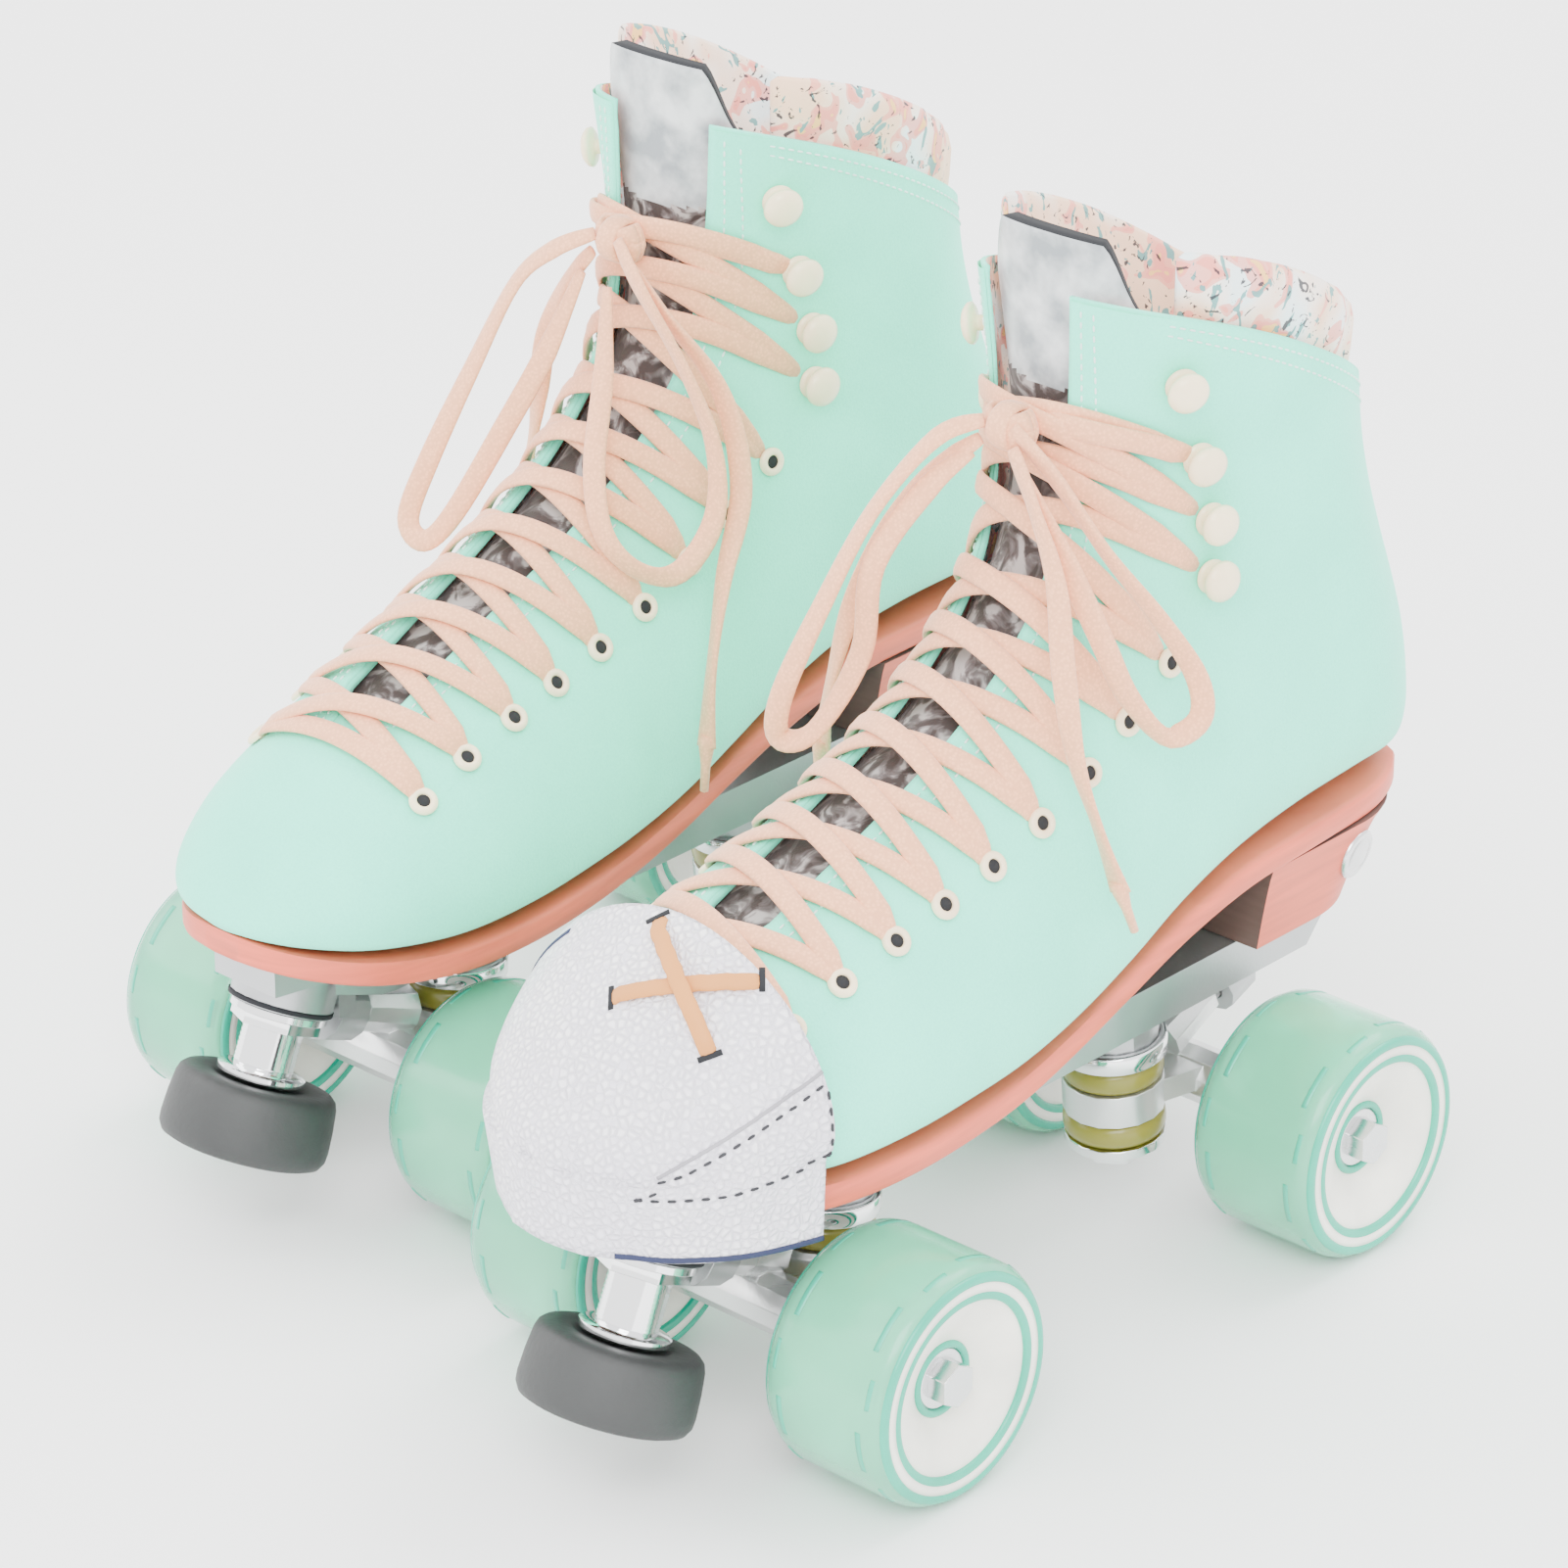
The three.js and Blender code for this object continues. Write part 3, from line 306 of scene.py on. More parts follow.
def pebbled_leather():
    look = Look("pebbled_leather", LEATHER, 0.5, Coat_Weight=0.15)
    pebble = look.texture("Voronoi", 480, feature="SMOOTH_F1")
    crease = look.texture("Voronoi", 480, feature="DISTANCE_TO_EDGE")
    tone = look.ramp(look.noise(18, 3.0), [(0.35, (0.80, 0.78, 0.86)), (0.65, (0.92, 0.91, 0.92))])
    grain = look.ramp(crease, [(0.0, grey(0.0)), (0.26, grey(1))])
    # The creases between the pebbles are darker: painted shade in the grain's grooves.
    look.colored(look.mix(grain, (0.70, 0.68, 0.76), tone))
    look.bump(pebble, 0.0003, -0.4, look.bump(grain, 0.0006, 0.8))
    return look.mat


MINT = (0.15, 0.94, 0.67)
PEACH = (0.9, 0.62, 0.5)
LACE_PEACH = (0.98, 0.46, 0.25)
LEATHER = (0.88, 0.87, 0.9)
CORAL = (0.70, 0.115, 0.06)
BROWN = (0.10, 0.055, 0.045)
CREAM = (0.98, 0.78, 0.52)

MAT = {}


def make_materials():
    MAT.update(
        suede=suede(),
        print=print_fabric(),
        satin=satin(),
        # the tongue's cloth is painted near-black as the shade between the facings
        tongue=tongue_in_painted_shade(),
        lace=woven_lace(),
        sole=stacked_sole("coral_sole", CORAL, 0.5),
        underside=stacked_sole("brown_underside", BROWN, 0.6),
        plate=cast_metal("cast_plate", (0.46, 0.47, 0.48), 0.38, 900),
        truck=cast_metal("cast_truck", (0.74, 0.75, 0.75), 0.3, 700),
        chrome=polished_metal("chrome", (0.86, 0.87, 0.88), 0.08),
        steel=polished_metal("turned_steel", (0.7, 0.7, 0.71), 0.22),
        cushion=urethane("olive_cushion", (0.26, 0.24, 0.035), 0.1, 0.3),
        urethane=urethane("mint_urethane", (0.26, 0.97, 0.64), 0.6),
        core=urethane("core_tint", (0.02, 0.48, 0.31), 0.1),
        bright=moulded("bright_ring", (0.0, 0.42, 0.27), 0.25),
        face=moulded("cream_face", (0.86, 0.84, 0.76), 0.35),
        rubber=moulded("stop_rubber", (0.03, 0.032, 0.032), 0.6, 500, 0.0004),
        # near-black: the painted shade in the eyelet holes and the thong's slits, also the tongue's rims and
        # the ring at the toe-stop boss
        dark=moulded("dark_ring", (0.008, 0.009, 0.012), 0.85),
        enamel=moulded("cream_enamel", CREAM, 0.22),
        leather=pebbled_leather(),
        thread=moulded("pale_thread", (0.72, 0.9, 0.84), 0.8),
        black_thread=moulded("black_thread", (0.02, 0.02, 0.025), 0.7),
        navy=moulded("navy_edge", (0.008, 0.014, 0.06), 0.6),
        tan=moulded("tan_thong", (0.62, 0.25, 0.06), 0.6),
        seam=moulded("seam_shadow", (0.30, 0.29, 0.32), 0.7),
        insole=moulded("insole_cloth", (0.55, 0.42, 0.32), 0.9, 1200, 0.0004),
    )


# ---- pieces
def new_piece(name, points, faces, mats, body, stands_for=(), finish=None, inside=None):
    """A mesh of row-frame points that rides on a body; mats is one material or several.

    An open sheet is turned to face away from a row-frame point given as its inside.
    """
    mesh = bpy.data.meshes.new(name)
    mesh.from_pydata(points, [], faces)
    obj = add_object(name, mesh)
    for mat in [mats] if isinstance(mats, str) else mats:
        mesh.materials.append(MAT[mat])
    face_outwards(mesh, inside)
    mesh.shade_smooth()
    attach(obj, body)
    if stands_for:
        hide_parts(*stands_for)
    return obj


def face_outwards(mesh, inside):
    sheet = inside is not None
    work = bmesh.new()
    work.from_mesh(mesh)
    bmesh.ops.remove_doubles(work, verts=work.verts, dist=5e-6 if sheet else 1e-6)
    bmesh.ops.recalc_face_normals(work, faces=work.faces)
    if sheet and sum((f.calc_center_median() - inside).dot(f.normal) * f.calc_area()
                     for f in work.faces) < 0:
        bmesh.ops.reverse_faces(work, faces=work.faces)
    work.to_mesh(mesh)
    work.free()


def grid(rows, close_rows=False, close_columns=False, caps=()):
    """Points and faces of a grid of rows; caps are the numbers of the rows that get a face."""
    count = len(rows[0])
    faces = []
    for i in range(len(rows) if close_rows else len(rows) - 1):
        a, b = i * count, (i + 1) % len(rows) * count
        for j in range(count if close_columns else count - 1):
            k = (j + 1) % count
            faces.append((a + j, a + k, b + k, b + j))
    faces += [tuple(range(row * count, (row + 1) * count)) for row in caps]
    return [p for row in rows for p in row], faces


def tube(rows):
    """Rings joined one to the next, closed at both ends."""
    return grid(rows, close_columns=True, caps=(0, len(rows) - 1))


def joined(parts):
    """Several (points, faces) as one."""
    points, faces = [], []
    for more_points, more_faces in parts:
        start = len(points)
        points += more_points
        faces += [tuple(start + k for k in face) for face in more_faces]
    return points, faces


def closed(profile):
    return profile + profile[:1]


def turned(profile, start, axis, segments=64):
    """A (radius, height) profile in millimetres turned about an axis from a row-frame point."""
    turn = Vector((0, 0, 1)).rotation_difference(Vector(axis).normalized())
    rows = []
    for k in range(segments):
        angle = 2 * pi * k / segments
        rows.append([start + turn @ Vector((r * cos(angle), r * sin(angle), h)) / 1000
                     for r, h in profile])
    return grid(rows, close_rows=True)


def bevelled(node, mat, body, width=0.0006):
    """A CAD node's own shape with its edges rounded off."""
    mesh = bpy.data.objects[node].data.copy()
    obj = add_object(f"{node}_finish", mesh)
    mesh.materials.clear()
    mesh.materials.append(MAT[mat])
    work = bmesh.new()
    work.from_mesh(mesh)
    bmesh.ops.remove_doubles(work, verts=work.verts, dist=1e-6)
    bmesh.ops.dissolve_limit(work, angle_limit=radians(2), verts=work.verts, edges=work.edges)
    work.to_mesh(mesh)
    work.free()
    modifier = obj.modifiers.new("bevel", "BEVEL")
    modifier.width = width
    modifier.segments = 2
    modifier.limit_method = "ANGLE"
    modifier.angle_limit = radians(32)
    mesh.shade_smooth()
    smooth_by_angle(mesh, 32)
    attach(obj, body)
    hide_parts(node)
    return obj


def smooth_by_angle(mesh, degrees):
    mesh.set_sharp_from_angle(angle=radians(degrees))


def second_material(obj, chosen):
    """Gives the faces that a test picks the object's second material, and the rest its first."""
    for face in obj.data.polygons:
        face.material_index = 1 if chosen(face) else 0


def add_wall(obj, thickness, inside=0, rim=2, clamp=0.0):
    """Thickens a sheet inwards; inside and rim are how many materials further on those faces use."""
    solid = obj.modifiers.new("wall", "SOLIDIFY")
    solid.thickness = thickness
    solid.offset = -1
    solid.thickness_clamp = clamp
    solid.material_offset = inside
    solid.material_offset_rim = rim


# ---- boot surface
# Ribs from the toe over the instep to the collar: foot (y, z), crest (y, z), half width,
# level of the widest point, fullness below and above it, shift to the outside, and bow.
RIBS = [
    ((-140, 90), (-141, 92.5), 5, 0.45, 2, 2, -6, 0),
    ((-137.5, 89.2), (-139.5, 96), 15.5, 0.4, 2.4, 2, -6, 0),
    ((-131, 87.2), (-134.5, 101), 25, 0.35, 2.8, 2, -5.5, 0),
    ((-120, 84.6), (-125, 109), 34, 0.3, 3.2, 2, -5, 0),
    ((-105, 82), (-112, 118.5), 40.5, 0.28, 3.4, 1.95, -4, 0),
    ((-88, 80.2), (-98, 126.5), 44, 0.26, 3.5, 1.9, -3, 0),
    ((-66, 79.6), (-82, 134.8), 45, 0.25, 3.5, 1.85, -2, 0),
    ((-44, 79.6), (-66, 142.2), 44, 0.25, 3.4, 1.8, -1, 0),
    ((-22, 80.2), (-50, 149.8), 42, 0.25, 3.3, 1.8, 0, 0),
    ((0, 83.5), (-34, 157.8), 40, 0.25, 3.2, 1.8, 0.5, 0),
    ((22, 89.5), (-19, 166.3), 38, 0.25, 3.1, 1.85, 1, 0),
    ((45, 97), (-6, 175.8), 36.5, 0.26, 3, 1.9, 1, 0),
    ((70, 102.6), (4.5, 186), 35.5, 0.28, 3, 2, 1, 0),
    ((98, 104.2), (11.5, 196.5), 34.5, 0.3, 2.9, 2.1, 0.5, 0),
    ((126, 103.6), (15.5, 206), 34, 0.32, 2.7, 2.3, 0, 0),
    ((145, 103.2), (17.5, 213.5), 33.5, 0.34, 2.5, 2.4, 0, 0),
    ((152.5, 109), (18.3, 220), 33.5, 0.36, 2.3, 2.5, 0, 0),
    ((153.5, 121), (18.8, 226), 33.5, 0.38, 2.2, 2.5, 0, 0),
    ((151, 135), (19, 231.5), 33.5, 0.4, 2.2, 2.5, 0, 0),
    ((146, 149), (19.2, 237), 34, 0.42, 2.2, 2.5, 0, 0),
    ((139, 165), (19.3, 243), 34.5, 0.44, 2.2, 2.5, 0, 1),
    ((132, 181), (19.3, 249), 35.5, 0.46, 2.2, 2.5, 0, 2.5),
    ((127, 196), (19.2, 255.5), 36.5, 0.48, 2.2, 2.5, 0, 4),
    ((124, 211), (19, 262), 37.5, 0.5, 2.2, 2.5, 0, 6),
    ((122.5, 223), (18, 275), 38, 0.5, 2.2, 2.5, 0, 7),
]
RIB_ROWS = [(*foot, *crest, *rest) for foot, crest, *rest in RIBS]
SOLE_HALF = [6, 15.5, 24.5, 33, 38.5, 41.5, 42, 40, 36.5, 33.5, 31.5, 31, 31, 31, 28, 18.5, 7]
TOP_RIB = 23
LINING_RIB = 24
BOOT_INSIDE = (0, 60, 150)
THROAT_START = 5.4
THROAT_HALF_LOW = 9
THROAT_HALF_HIGH = {1: 10, -1: 20}    # outside and inside of the foot
EYELET_X = 29
EYELET_RIBS = [5.05, 6, 7, 7.9, 8.8, 9.75, 10.75, 11.7, 12.9]
HOOK_RIBS = [15.2, 17, 19, 21.1]


def cubic(a, b, c, d, t):
    return b + 0.5 * t * (c - a + t * (2 * a - 5 * b + 4 * c - d + t * (3 * (b - c) + d - a)))


def between(rows, u):
    """Catmull-Rom through a list of numbers or of tuples."""
    i = min(max(int(math.floor(u)), 0), len(rows) - 2)
    four = [rows[min(max(k, 0), len(rows) - 1)] for k in range(i - 1, i + 3)]
    if isinstance(four[0], tuple):
        return [cubic(*column, u - i) for column in zip(*four)]
    return cubic(*four, u - i)


def skin(u, angle):
    fy, fz, cy, cz, half, level, low, high, shift, bow = between(RIB_ROWS, u)
    down, out = cos(angle), sin(angle)
    power = 2 / (low if down > 0 else high)
    rise = abs(down) ** power
    s = level * (1 - rise) if down > 0 else level + (1 - level) * rise
    x = half * math.copysign(abs(out) ** power, out)
    dy, dz = cy - fy, cz - fz
    length = math.hypot(dy, dz)
    lift = bow * 4 * s * (1 - s)
    return Vector((x + shift, fy + dy * s + lift * dz / length, fz + dz * s - lift * dy / length))


def normal_at(u, angle):
    step = 0.02
    along = skin(min(u + step, LINING_RIB), angle) - skin(max(u - step, 0), angle)
    around = skin(u, angle + step) - skin(u, angle - step)
    return along.cross(around).normalized()


def skin_at(u, angle, offset):
    return skin(u, angle) + normal_at(u, angle) * offset


def crest_angle(u, x):
    half, high = [between(RIB_ROWS, u)[k] for k in (4, 7)]
    part = min(abs(x) / half, 1) ** (high / 2)
    return math.copysign(pi - math.asin(part), x if x else 1)


def over_crest(u, x, offset):
    """A point near the lacing, x millimetres from the boot's middle."""
    return skin_at(u, crest_angle(u, x), offset)


def steps(first, last, step):
    count = max(1, round((last - first) / step))
    return [first + (last - first) * k / count for k in range(count + 1)]


def throat_half(u, hand):
    """Half width of the lacing slot towards the outside (1) or the inside (-1) of the foot."""
    if u <= THROAT_START:
        return 0.0
    part = (u - THROAT_START) / (LINING_RIB - THROAT_START)
    full = THROAT_HALF_LOW + (THROAT_HALF_HIGH[hand] - THROAT_HALF_LOW) * part
    return full * min(1, math.sqrt((u - THROAT_START) / 0.5))


# ---- laces
LACE_WIDTH = 6.0
LACE_THICKNESS = 1.9
LOOSE_STEPS = 60
RUN_STEPS = 22
KNOT = (0, 11, 229)
KNOT_RIB = 17.6
KNOT_BANDS = ((90, (5.0, 5.4), 6.5), (18, (6.6, 4.2), 6), (-25, (6.2, 4.4), 5.5))    # tilt, radii, width
ROUTES = {
    "left": {
        "loop_to_right": [
            (-4, 6, 231), (-13, -1, 226), (-23, -12, 208), (-31, -21, 184), (-37, -29, 161),
            (-37, -30, 150), (-30, -25, 152), (-24, -15, 171), (-21, -14, 195), (-13, -4, 214),
            (-6, 4, 223)],
        "loop_to_left": [
            (4, 7, 231), (16, 10, 219), (28, 14, 203), (39, 21, 187), (46, 27, 172),
            (48, 26, 162), (44, 18, 159), (38, 11, 170), (33, 7, 184), (23, 5, 202),
            (9, 5, 221)],
        "end_to_right": [
            (-5, 6, 226), (-16, -1, 215), (-26, -5, 197), (-34, -8, 176), (-40, -8, 156),
            (-45, -6, 136)],
        "end_to_left": [
            (5, 6, 226), (14, 3, 215), (24, 0, 199), (32, -6, 180), (38, -8, 160), (43, -5, 142),
            (46, 0, 125)],
    },
    "right": {
        "loop_to_right": [
            (-4, 6, 231), (-13, 0, 226), (-22, -5, 216), (-30, -14, 192), (-37, -23, 168),
            (-39, -29, 153), (-32, -30, 149), (-26, -25, 157), (-19, -13, 179), (-13, -3, 199),
            (-6, 3, 221)],
        "loop_to_left": [
            (4, 6, 231), (14, 3, 222), (26, 6, 203), (35, 8, 183), (39, 4, 165), (37, -7, 153),
            (30, -15, 154), (22, -19, 163), (14, -14, 177), (7, -3, 197), (3, 3, 219)],
        "end_to_right": [
            (-5, 6, 226), (-15, 6, 214), (-25, 9, 197), (-32, 13, 178), (-38, 16, 160),
            (-42, 16, 142)],
        "end_to_left": [
            (5, 7, 226), (18, 8, 214), (32, 14, 195), (41, 12, 172), (44, 2, 150), (47, -6, 128),
            (48, -9, 108)],
    },
}


def smooth_path(points, count):
    """Catmull-Rom points through a route, evenly enough spaced for a ribbon."""
    rows = [tuple(p) for p in points]
    return [Vector(between(rows, (len(rows) - 1) * k / count)) for k in range(count + 1)]


def ribbon_ring(point, side, up, width, thickness):
    """Lens-shaped section of a flat woven lace."""
    ring = []
    for k in range(10):
        angle = 2 * pi * k / 10
        across = math.copysign(abs(cos(angle)) ** 0.7, cos(angle))
        ring.append(point + side * across * width / 2 + up * sin(angle) * thickness / 2)
    return ring


def ribbon(points, normals, width=LACE_WIDTH, thickness=LACE_THICKNESS, taper=()):
    """Closed flat ribbon along points; taper gives width factors per point."""
    rows = []
    for k, point in enumerate(points):
        ahead = points[min(k + 1, len(points) - 1)] - points[max(k - 1, 0)]
        side = ahead.cross(normals[k]).normalized()
        up = side.cross(ahead).normalized()
        scale = taper[k] if taper else 1
        rows.append(ribbon_ring(point, side, up, width * scale, thickness * (0.6 + 0.4 * scale)))
    return tube(rows)


def in_row_frame(name, part, handed=True):
    points, faces = part
    return [place(name, p, handed) for p in points], faces


def lace_piece(name, word, part):
    return new_piece(f"{name}_lace_{word}", *part, "lace", home(name), [f"{name}_lace"], "lace")


def loose_lace(name, key):
    """One free stretch of lace: a bow's loop, or an end with its tip."""
    looped = key.startswith("loop")
    last = LOOSE_STEPS
    points = smooth_path(ROUTES[name][key], last)
    rest = Vector((0, -1, 0.25)).normalized()
    normals = []
    for k, p in enumerate(points):
        ahead = (points[min(k + 1, last)] - points[max(k - 1, 0)]).normalized()
        flat = rest - ahead * rest.dot(ahead)
        twist = 0.5 * sin(3.1 * pi * k / last)
        normals.append(Quaternion(ahead, twist) @ flat.normalized())
    pinch = [min(1, 0.55 + 0.45 * min(k, last - k if looped else last) / 6) for k in range(last + 1)]
    obj = lace_piece(name, key, in_row_frame(name, ribbon(points, normals, taper=pinch), False))
    with_pieces = [] if looped else [lace_tip(name, key, points)]


def lace_tip(name, key, points):
    direction = (points[-1] - points[-3]).normalized()
    start = place(name, points[-1], False) - direction * 0.003
    profile = [(0, 0), (2.2, 0), (2.1, 3), (1.3, 8), (1.1, 15), (0, 15.5)]
    part = turned(profile, start, direction, 12)
    return new_piece(f"{name}_lace_tip_{key}", *part, "lace", home(name), (), "lace")


def crossing_run(start, end, over):
    """One run of laid lace from an eyelet or hook to the next one across."""
    (u0, x0), (u1, x1) = start, end
    points, normals, taper = [], [], []
    for k in range(RUN_STEPS + 1):
        t = k / RUN_STEPS
        u, x = u0 + (u1 - u0) * t, x0 + (x1 - x0) * t
        near_edge = min(t, 1 - t)
        dive = max(0.0, 1 - near_edge / 0.09)
        rise = 2.1 + (2.3 if over else 0) * sin(pi * t) ** 2 - 3.4 * dive ** 2
        angle = crest_angle(u, x)
        points.append(skin_at(u, angle, rise))
        normals.append(normal_at(u, angle))
        taper.append(1 - 0.45 * dive)
    return ribbon(points, normals, taper=taper)


def laid_lace(name):
    posts = EYELET_RIBS + HOOK_RIBS[:3]
    parts = [crossing_run((posts[0], -EYELET_X), (posts[0], EYELET_X), False)]
    for first in (-1, 1):
        marks = [(u, EYELET_X * first * (-1) ** k) for k, u in enumerate(posts)]
        marks.append((KNOT_RIB, 3 * first * (-1) ** (len(posts) - 1)))
        for k, (start, end) in enumerate(zip(marks, marks[1:])):
            parts.append(crossing_run(start, end, (k % 2 == 0) == (first > 0)))
    lace_piece(name, "laid", in_row_frame(name, joined(parts)))


def knot_band(tilt, radii, width):
    """A ribbon wrapped once round the knot."""
    turn = Quaternion(Vector((0, 1, 0)), radians(tilt))
    points, normals = [], []
    for k in range(25):
        angle = 2 * pi * k / 24
        around = turn @ Vector((cos(angle) * radii[0], sin(angle) * radii[1], 0))
        points.append(Vector(KNOT) + around)
        normals.append(around.normalized())
    return ribbon(points, normals, width, 2.2)


def knot(name):
    bands = [knot_band(*band) for band in KNOT_BANDS]
    lace_piece(name, "knot", in_row_frame(name, joined(bands), False))


# ---- boot
def upper(name):
    rows = []
    for u in steps(0, TOP_RIB, 0.2):
        start = -abs(crest_angle(u, max(throat_half(u, -1), 1e-4)))
        end = abs(crest_angle(u, max(throat_half(u, 1), 1e-4)))
        rows.append([place(name, skin_at(u, start + (end - start) * k / 88, 0)) for k in range(89)])
    points, faces = grid(rows, caps=[0])
    if SIDES[name] < 0:
        faces = [face[::-1] for face in faces]
    obj = new_piece(f"{name}_upper", points, faces, ["suede", "print", "suede"], home(name),
                    [f"{name}_boot_upper"], "suede", place(name, BOOT_INSIDE))
    add_wall(obj, 0.0024, inside=1, clamp=1.5)


FACING_EDGE = 31.0    # the facing thins out to nothing at this distance from the middle


def facing(name, hand):
    """Slightly raised strip that carries the eyelets, on one side of the throat."""
    rows = []
    for u in steps(5.0, TOP_RIB - 0.05, 0.2):
        low = max(throat_half(u, hand), 3.5) + 0.5
        across = [(low, 0.1), (low + 0.2, 0.6), (low + 1, 0.8)]
        across += [(low + 1 + (FACING_EDGE - low - 1) * k / 8, 0.8 if k < 5 else 0.8 - 0.26 * (k - 5))
                   for k in range(1, 9)]
        rows.append([place(name, over_crest(u, hand * x, z)) for x, z in across])
    word = "outer" if hand > 0 else "inner"
    new_piece(f"{name}_facing_{word}", *grid(rows), "suede", home(name), (), "suede",
              place(name, BOOT_INSIDE))


COLLAR_RIB = 22.3                     # the padded roll's middle
COLLAR_HALF_RIBS = 1.7                # half its height, in ribs
COLLAR_HALF_THICK = 2.8
COLLAR_REACH = radians(128)      # how far it goes round from the back, each way
COLLAR_RISE = 6.5                     # how much taller than the ribs it stands at the back


def collar_pad(name):
    """Padded printed roll round the top of the boot, open at the front."""
    turns = [2 * pi * k / 20 for k in range(20)]
    edge = COLLAR_REACH
    rows = []
    for k in range(97):
        around = -edge + 2 * edge * k / 96
        fade = min(1, (1 - abs(around) / edge) * 9 + 0.25)
        ring = []
        for turn in turns:
            u = COLLAR_RIB + COLLAR_HALF_RIBS * sin(turn)
            offset = -(WALL + 0.6) - COLLAR_HALF_THICK + COLLAR_HALF_THICK * cos(turn) * fade
            above = max(0.0, u - TOP_RIB)
            offset += 3.0 * min(1, above / 0.5) * fade
            offset += 0.4 * sin(around * 23) * fade * min(1, max(0, u - 21))
            point = skin_at(min(u, LINING_RIB), around, offset)
            point.z += COLLAR_RISE * above * abs(cos(around / edge * pi / 2)) ** 0.35
            ring.append(place(name, point))
        rows.append(ring)
    obj = new_piece(f"{name}_collar_pad", *tube(rows), "print", home(name),
                    [f"{name}_collar_lining"], "print_fabric")


TONGUE_HALF = 27
SATIN_FROM = 236    # the height above which the tongue is faced with satin


def tongue(name):
    rows = []
    for u in steps(4.2, LINING_RIB, 0.2):
        shrink = 1 - 0.35 * (max(0, u - 21.5) / 2.5) ** 2
        places = [TONGUE_HALF * shrink * (k / 16 - 1) for k in range(33)]
        rows.append([place(name, over_crest(u, x, -(WALL + 1.0))) for x in places])
    # The tongue's first material is painted near-black: the shade of the recess between the facings.
    obj = new_piece(f"{name}_tongue_leather", *grid(rows), ["tongue", "satin", "dark", "dark"],
                    home(name), [f"{name}_tongue"], "suede", place(name, BOOT_INSIDE))
    top = place(name, (0, 0, SATIN_FROM)).z
    second_material(obj, lambda face: face.center.z > top)
    add_wall(obj, 0.0042)


EYELET_MARKS = [(u, x) for u in EYELET_RIBS for x in (-EYELET_X, EYELET_X)]
HOOK_MARKS = [(u, x) for u in HOOK_RIBS for x in (-EYELET_X, EYELET_X)]
EYELET = [(1.7, -0.6), (1.8, 0.6), (2.2, 0.95), (2.9, 0.95), (3.6, 0.5), (3.8, 0.0), (3.7, -0.5)]
# A flat near-black disc inside each eyelet: the painted shade of its hole.
EYELET_HOLE_SHADE = [(0, 0.1), (1.6, 0.1), (1.8, -0.3), (0, -0.4)]
HOOK = [(0, 0), (4.2, 0), (4.4, 0.6), (3.0, 1.0), (2.0, 1.5), (2.0, 3.3), (4.5, 3.7), (5.3, 4.3), (5.1, 5.3),
        (3.9, 6.3), (2.1, 6.9), (0, 7.1)]


def beside_throat(name, word, marks, profile, mat, lift, segments):
    """The same turned fitting at every (rib, x) mark, standing square on the boot."""
    parts = []
    for u, x in marks:
        centre = place(name, over_crest(u, x, lift))
        up = place(name, over_crest(u, x, 2.0)) - centre
        parts.append(turned(profile, centre, up, segments))
    new_piece(f"{name}_{word}", *joined(parts), mat, home(name), (), "suede")


def dashes(path, lift, spacing=2.7, length=1.7, radius=0.28):
    """Sewn stitches along (point, normal) pairs in skate millimetres."""
    parts = []
    run, due = 0.0, 0.0
    for (a, na), (b, _) in zip(path, path[1:]):
        gap = (b - a).length
        while gap > 1e-9 and due <= run + gap:
            middle = a.lerp(b, (due - run) / gap) + na * lift
            along = (b - a).normalized() * length / 2
            side = along.cross(na).normalized()
            rows = []
            for t, r in ((-1, 0.4), (-0.6, 1), (0.6, 1), (1, 0.4)):
                rows.append([middle + along * t + (side * cos(q) + na * sin(q)) * radius * r
                             for q in (pi * k / 3 for k in range(6))])
            parts.append(tube(rows))
            due += spacing
        run += gap
    return parts


def boot_stitches(name):
    """Two rows beside the throat, two under the collar and two up the back."""
    throat = [[(u, crest_angle(u, hand * (max(throat_half(u, hand), 3.5) + inset)))
               for u in steps(5.1, 22.6, 0.1)] for hand in (-1, 1) for inset in (3.2, 6.0)]
    collar = [[(u, radians(134) * (k / 60 - 1)) for k in range(121)] for u in (22.75, 22.45)]
    back = [[(u, angle) for u in steps(16.2, 22.4, 0.1)] for angle in (-0.035, 0.035)]
    parts = []
    for lines, offset, lift in ((throat, 0.8, 0.12), (collar + back, 0, 0.15)):
        for marks in lines:
            parts += dashes([(skin_at(u, a, offset), normal_at(u, a)) for u, a in marks], lift)
    part = in_row_frame(name, joined(parts))
    new_piece(f"{name}_boot_stitches", *part, "thread", home(name), (), "suede")


def sole_section(u):
    fy, fz = between(RIB_ROWS, u)[:2]
    half = between(SOLE_HALF, u)
    shift = between(RIB_ROWS, min(u, 15))[8]
    if u > 15:
        fy, fz = 145 + (u - 15) * 6.5, RIBS[15][0][1]
    return fy, fz - GAP, half, shift


def outsole(name):
    rows = []
    for u in steps(0, 16, 0.2):
        y, z, half, shift = sole_section(u)
        profile = [(-half + 2, 0), (-half + 0.5, -0.3), (-half, -1.2), (-half, -5.6), (-half + 0.6, -6.7),
                   (-half + 2.5, -7), (half - 2.5, -7), (half - 0.6, -6.7), (half, -5.6), (half, -1.2),
                   (half - 0.5, -0.3), (half - 2, 0)]
        rows.append([place(name, (x + shift, y, z + dz)) for x, dz in profile])
    obj = new_piece(f"{name}_sole_edge", *tube(rows), ["sole", "underside"], home(name),
                    [f"{name}_outsole"], "sole")
    second_material(obj, lambda face: face.normal.z < -0.9)
    smooth_by_angle(obj.data, 50)


